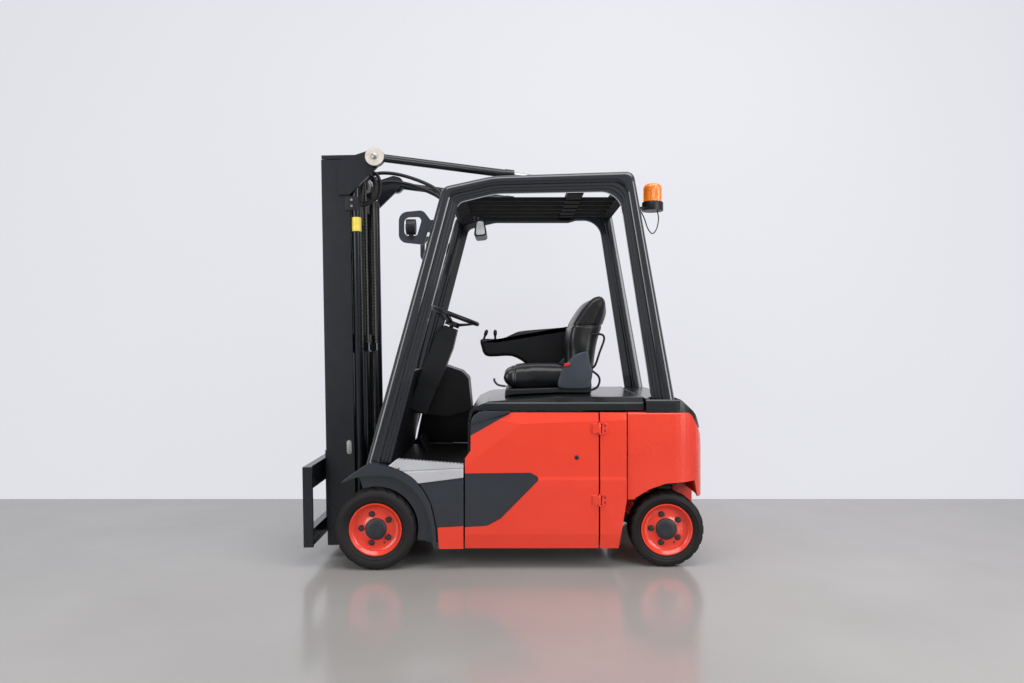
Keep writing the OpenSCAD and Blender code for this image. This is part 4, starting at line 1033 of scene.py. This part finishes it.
@dataclass
class BodyTrim:
    """Small pieces on the body: steps, door lock, hinges, lamp glasses, mirror, linings, steering neck."""

    step_a: tuple[float, float] = (-118.0, 554.5)
    step_b: tuple[float, float] = (-436.0, 530.0)
    pitch: float = 16.0
    tooth_y: tuple[float, float] = (503.0, 538.0)
    screw: ArrayLike = ((0, 538), (9, 538), (9, 541), (6, 543.5), (0, 544))
    screw_at: ArrayLike = (-118, 0, 515)
    lock: ArrayLike = ((0, 522), (11.4, 522), (11.4, 532), (9, 534), (3.5, 534), (3.5, 531), (0, 531))
    lock_at: ArrayLike = (-1011, 0, 566)
    glass: ArrayLike = ((0, -0.5), (36, -0.5), (36, 1.5), (30, 3), (16, 4.5), (0, 5))
    glass_at: ArrayLike = (-146, 450, GUARD_H - 281)
    pane: ArrayLike = ((-468, 1786), (-477, 1870), (-514, 1866), (-526, 1792))
    pane_y: tuple[float, float] = (-201.0, -197.0)
    corner: ArrayLike = (
        (-480, 728), (-480, 744), (-486, 764), (-500, 782), (-522, 794), (-556, 797), (-676, 796), (-676, 791),
    )
    corner_y: tuple[float, float] = (488.0, 531.0)
    lining: ArrayLike = ((-82, 514), (-128, 735), (-300, 725), (-440, 750), (-460, 700), (-460, 514))
    lining_y: tuple[float, float] = (-421.0, -413.0)
    steer_at: ArrayLike = (-362.0, 0.0, 1294.0)
    neck_down: ArrayLike = (-110.0, -95.0, -74.0)
    neck_r: ArrayLike = (30.0, 27.0, 23.0)
    hinge_x: tuple[tuple[str, str, float], ...] = (("door", "door", -1117.0), ("strip", "truck", -1170.0))
    hinge_z: tuple[float, ...] = (353.0, 713.0)
    leaf: tuple[float, float] = (34.0, 24.0)
    leaf_y: tuple[float, float] = (528.0, 535.5)
    screw_dz: tuple[float, ...] = (-13.0, 13.0)
    leaf_screw: ArrayLike = ((0, 533), (5, 533), (5, 536), (3.5, 537), (0, 537))

    def build(self) -> None:
        """Makes the small pieces on the body."""
        n = int((self.step_a[0] - self.step_b[0]) / self.pitch)
        at, (y0, y1) = np.linspace(self.step_a, self.step_b, n), self.tooth_y
        low = np.column_stack([at[:, 0] - 4, np.full(n, y0), at[:, 1] - 3])
        high = np.column_stack([at[:, 0] + 4, np.full(n, y1), at[:, 1] + 4])
        both(Shape.boxes(low, high)).make("step_teeth", Paint.ALU, "truck")
        both(Shape.lathe(self.screw, self.screw_at, "y", 32)).make("step_screws", Paint.STEEL, "truck")
        Shape.lathe(self.lock, self.lock_at, "y", 32).make("door_lock", Paint.BOLT, "door")
        both(Shape.lathe(self.glass, self.glass_at, "x", 48)).make("lamp_glasses", Paint.GLASS, "truck")
        pane = Shape.plate(rounded(self.pane, [12] * 4, 5, True), *self.pane_y, 1.5)
        pane.make("mirror_pane", Paint.MIRROR, "truck")
        both(Shape.plate(self.corner, *self.corner_y, 2.0)).make("hood_corner_panels", Paint.GREY, "truck")
        up = np.array([-math.sin(STEER_LEAN), 0.0, math.cos(STEER_LEAN)])
        neck = np.array(self.steer_at) + np.outer(self.neck_down, up)
        Shape.tube(neck, self.neck_r, 32).make("steering_neck", Paint.SLATE, "truck")
        Shape.plate(self.lining, *self.lining_y, 2.0).make("footwell_lining", Paint.BLACK, "truck")
        self.hinges()

    def hinges(self) -> None:
        """Makes the hinge leaves on the door and on the strip behind it, each with two screws."""
        w, h = self.leaf
        for word, body, x in self.hinge_x:
            leaves, screws = [], []
            for z in self.hinge_z:
                leaf = rounded([(x, z - h), (x + w, z - h), (x + w, z + h), (x, z + h)], [4] * 4, 3, True)
                leaves.append(Shape.plate(leaf, *self.leaf_y, 1.5))
                for d in self.screw_dz:
                    screws.append(Shape.lathe(self.leaf_screw, (x + w / 2, 0, z + d), "y", 20))
            Shape.join(*leaves).make(f"hinge_leaves_{word}", Paint.RED, body)
            Shape.join(*screws).make(f"hinge_screws_{word}", Paint.BOLT, body)


@dataclass
class Studio:
    """Camera, floor, wall and soft lights that match the reference view, in metres and watts."""

    eye: tuple[float, float, float] = (-0.0375, 4.27, 1.148)
    focal_px: float = 745.0
    image_px: float = 1024.0
    sensor_mm: float = 36.0
    wall_y: float = -1.16
    wall_h: float = 6.0
    reach: float = 9.0
    sky: float = 0.3
    sky_seen: float = 0.55
    glow: float = 0.85
    # Sealed concrete with a wax sheen: it mirrors the wheels softly
    floor: Finish = Finish(
        "sealed_grey_floor", "#a3a19f", "#9c9a98", 0.17, specular=0.5, blotch_mm=700.0, relief_mm=0.0, dust=0.0
    )
    # Matt emulsion: an even pale field behind the truck
    wall: Finish = Finish(
        "white_emulsion_wall", "#e7e7ee", "#e4e4eb", 0.8, blotch_mm=900.0, relief_mm=0.0, dust=0.0
    )
    # Name, place, the point that it faces, width and height, watts
    lamps: tuple[tuple[str, ArrayLike, ArrayLike, tuple[float, float], float], ...] = (
        ("ceiling", (-0.4, 1.6, 4.0), (0.0, 0.2, 0.5), (4.2, 2.0), 110.0),
        ("far_fill", (0.5, -4.5, 2.6), (0.0, 0.0, 0.9), (3.0, 2.0), 55.0),
        ("front_box", (3.2, 3.4, 1.7), (0.2, 0.4, 1.0), (1.9, 2.8), 68.0),
        ("rear_box", (-3.2, 3.2, 1.9), (-0.2, 0.4, 1.0), (1.9, 2.8), 95.0),
    )

    def plane(self, name: str, corners: list[tuple[float, float, float]], finish: Finish, glow: float) -> None:
        """Makes one flat stage face, clear from behind, that keeps its pale colour for the camera.

        Args:
            name: object name.
            corners: four corner points in metres.
            finish: its finish.
            glow: share of its colour that doesn't depend on the lamps.
        """
        mesh = bpy.data.meshes.new(name)
        mesh.from_pydata(corners, [], [(0, 1, 2, 3)])
        material = finish.make()
        t = Shader(material)
        share = t.add("ShaderNodeMath", {"operation": "MULTIPLY"}, _0=t.seen(), _1=glow)
        own = t.add("ShaderNodeEmission", Color=linear(finish.colour), Strength=1.0)
        mixed = t.add("ShaderNodeMixShader", _0=share, _1=t.add("Principled BSDF"), _2=own)
        back = t.add("ShaderNodeNewGeometry", out="Backfacing")
        shadow = t.add("ShaderNodeLightPath", out="Is Shadow Ray")
        hidden = t.add("ShaderNodeMath", {"operation": "MAXIMUM"}, _0=back, _1=shadow)
        clear = t.add("ShaderNodeBsdfTransparent")
        faced = t.add("ShaderNodeMixShader", _0=hidden, _1=mixed, _2=clear)
        t.add("Material Output", Surface=faced)
        mesh.materials.append(material)
        obj = bpy.data.objects.new(name, mesh)
        bpy.context.scene.collection.objects.link(obj)

    def lamp(self, name: str, at: ArrayLike, to: ArrayLike, size: tuple[float, float], watts: float) -> None:
        """Adds one soft rectangular light.

        Args:
            name: object name.
            at: place in metres.
            to: the point that it faces.
            size: width and height in metres.
            watts: power.
        """
        data = bpy.data.lights.new(name, "AREA")
        data.shape, data.energy = "RECTANGLE", watts
        data.size, data.size_y = size
        obj = bpy.data.objects.new(name, data)
        obj.location = at
        obj.rotation_euler = Vector(np.subtract(to, at).tolist()).to_track_quat("-Z", "Y").to_euler()
        bpy.context.scene.collection.objects.link(obj)

    def build(self) -> None:
        """Sets the view, the floor, the wall, the sky and the lights."""
        scene = bpy.context.scene
        scene.view_settings.view_transform = "Standard"
        cam = bpy.data.cameras.new("photo_camera")
        cam.sensor_width, cam.lens = self.sensor_mm, self.sensor_mm * self.focal_px / self.image_px
        holder = bpy.data.objects.new("photo_camera", cam)
        holder.location, holder.rotation_euler = self.eye, (math.pi / 2, 0.0, math.pi)
        scene.collection.objects.link(holder)
        scene.camera = holder
        w, h, r = self.wall_y, self.wall_h, self.reach
        self.plane("floor", [(-r, -r, 0), (r, -r, 0), (r, r, 0), (-r, r, 0)], self.floor, 0.0)
        self.plane("wall", [(r, w, 0), (-r, w, 0), (-r, w, h), (r, w, h)], self.wall, self.glow)
        scene.world = bpy.data.worlds.new("studio")
        t = Shader(scene.world)
        level = t.add("ShaderNodeMapRange", Value=t.seen(), To_Min=self.sky, To_Max=self.sky_seen)
        t.add("Background", Color=(1, 1, 1, 1), Strength=level)
        for row in self.lamps:
            self.lamp(*row)


def dress_nodes() -> None:
    """Gives each frame node its finish and softens its edges."""
    for paint, names in NODE_PAINT.items():
        for name in names.split():
            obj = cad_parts[name]
            obj.data.materials.clear()
            obj.data.materials.append(paint.material())
            weld = obj.modifiers.new("weld", "WELD")
            weld.merge_threshold = WELD_M
            bevel = obj.modifiers.new("bevel", "BEVEL")
            bevel.width, bevel.segments = BEVEL_M, 2
            bevel.limit_method, bevel.angle_limit = "ANGLE", BEVEL_FROM


def wheels() -> list[Wheel]:
    """Returns the four wheels, the front pair larger than the steered rear pair."""
    out = []
    for word, s in (("left", 1.0), ("right", -1.0)):
        front = (f"wheel_front_{word}", f"tyre_front_{word}", (0.0, s * 460.0, AXLE_Z))
        rear = (f"wheel_rear_{word}", f"tyre_rear_{word}", (REAR_X, s * 422.5, REAR_Z))
        out.append(Wheel(*front, half=85.0, radius=AXLE_Z, seat=124.8, face=72.0, side=s))
        out.append(Wheel(*rear, half=67.5, radius=REAR_Z, seat=123.3, face=56.5, side=s))
    return out


def main() -> None:
    """Builds the looks in order and reports each piece."""
    logging.basicConfig(level=logging.INFO, format="%(name)s: %(message)s")
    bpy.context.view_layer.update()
    Studio().build()
    dress_nodes()
    for part in (GuardFrames(), *wheels(), Seat(), ControlArm(), MastTrim(), Beacon(), BodyTrim()):
        part.build()
        LOG.info("%s done", type(part).__name__)
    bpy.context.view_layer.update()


if __name__ == "__main__":
    main()
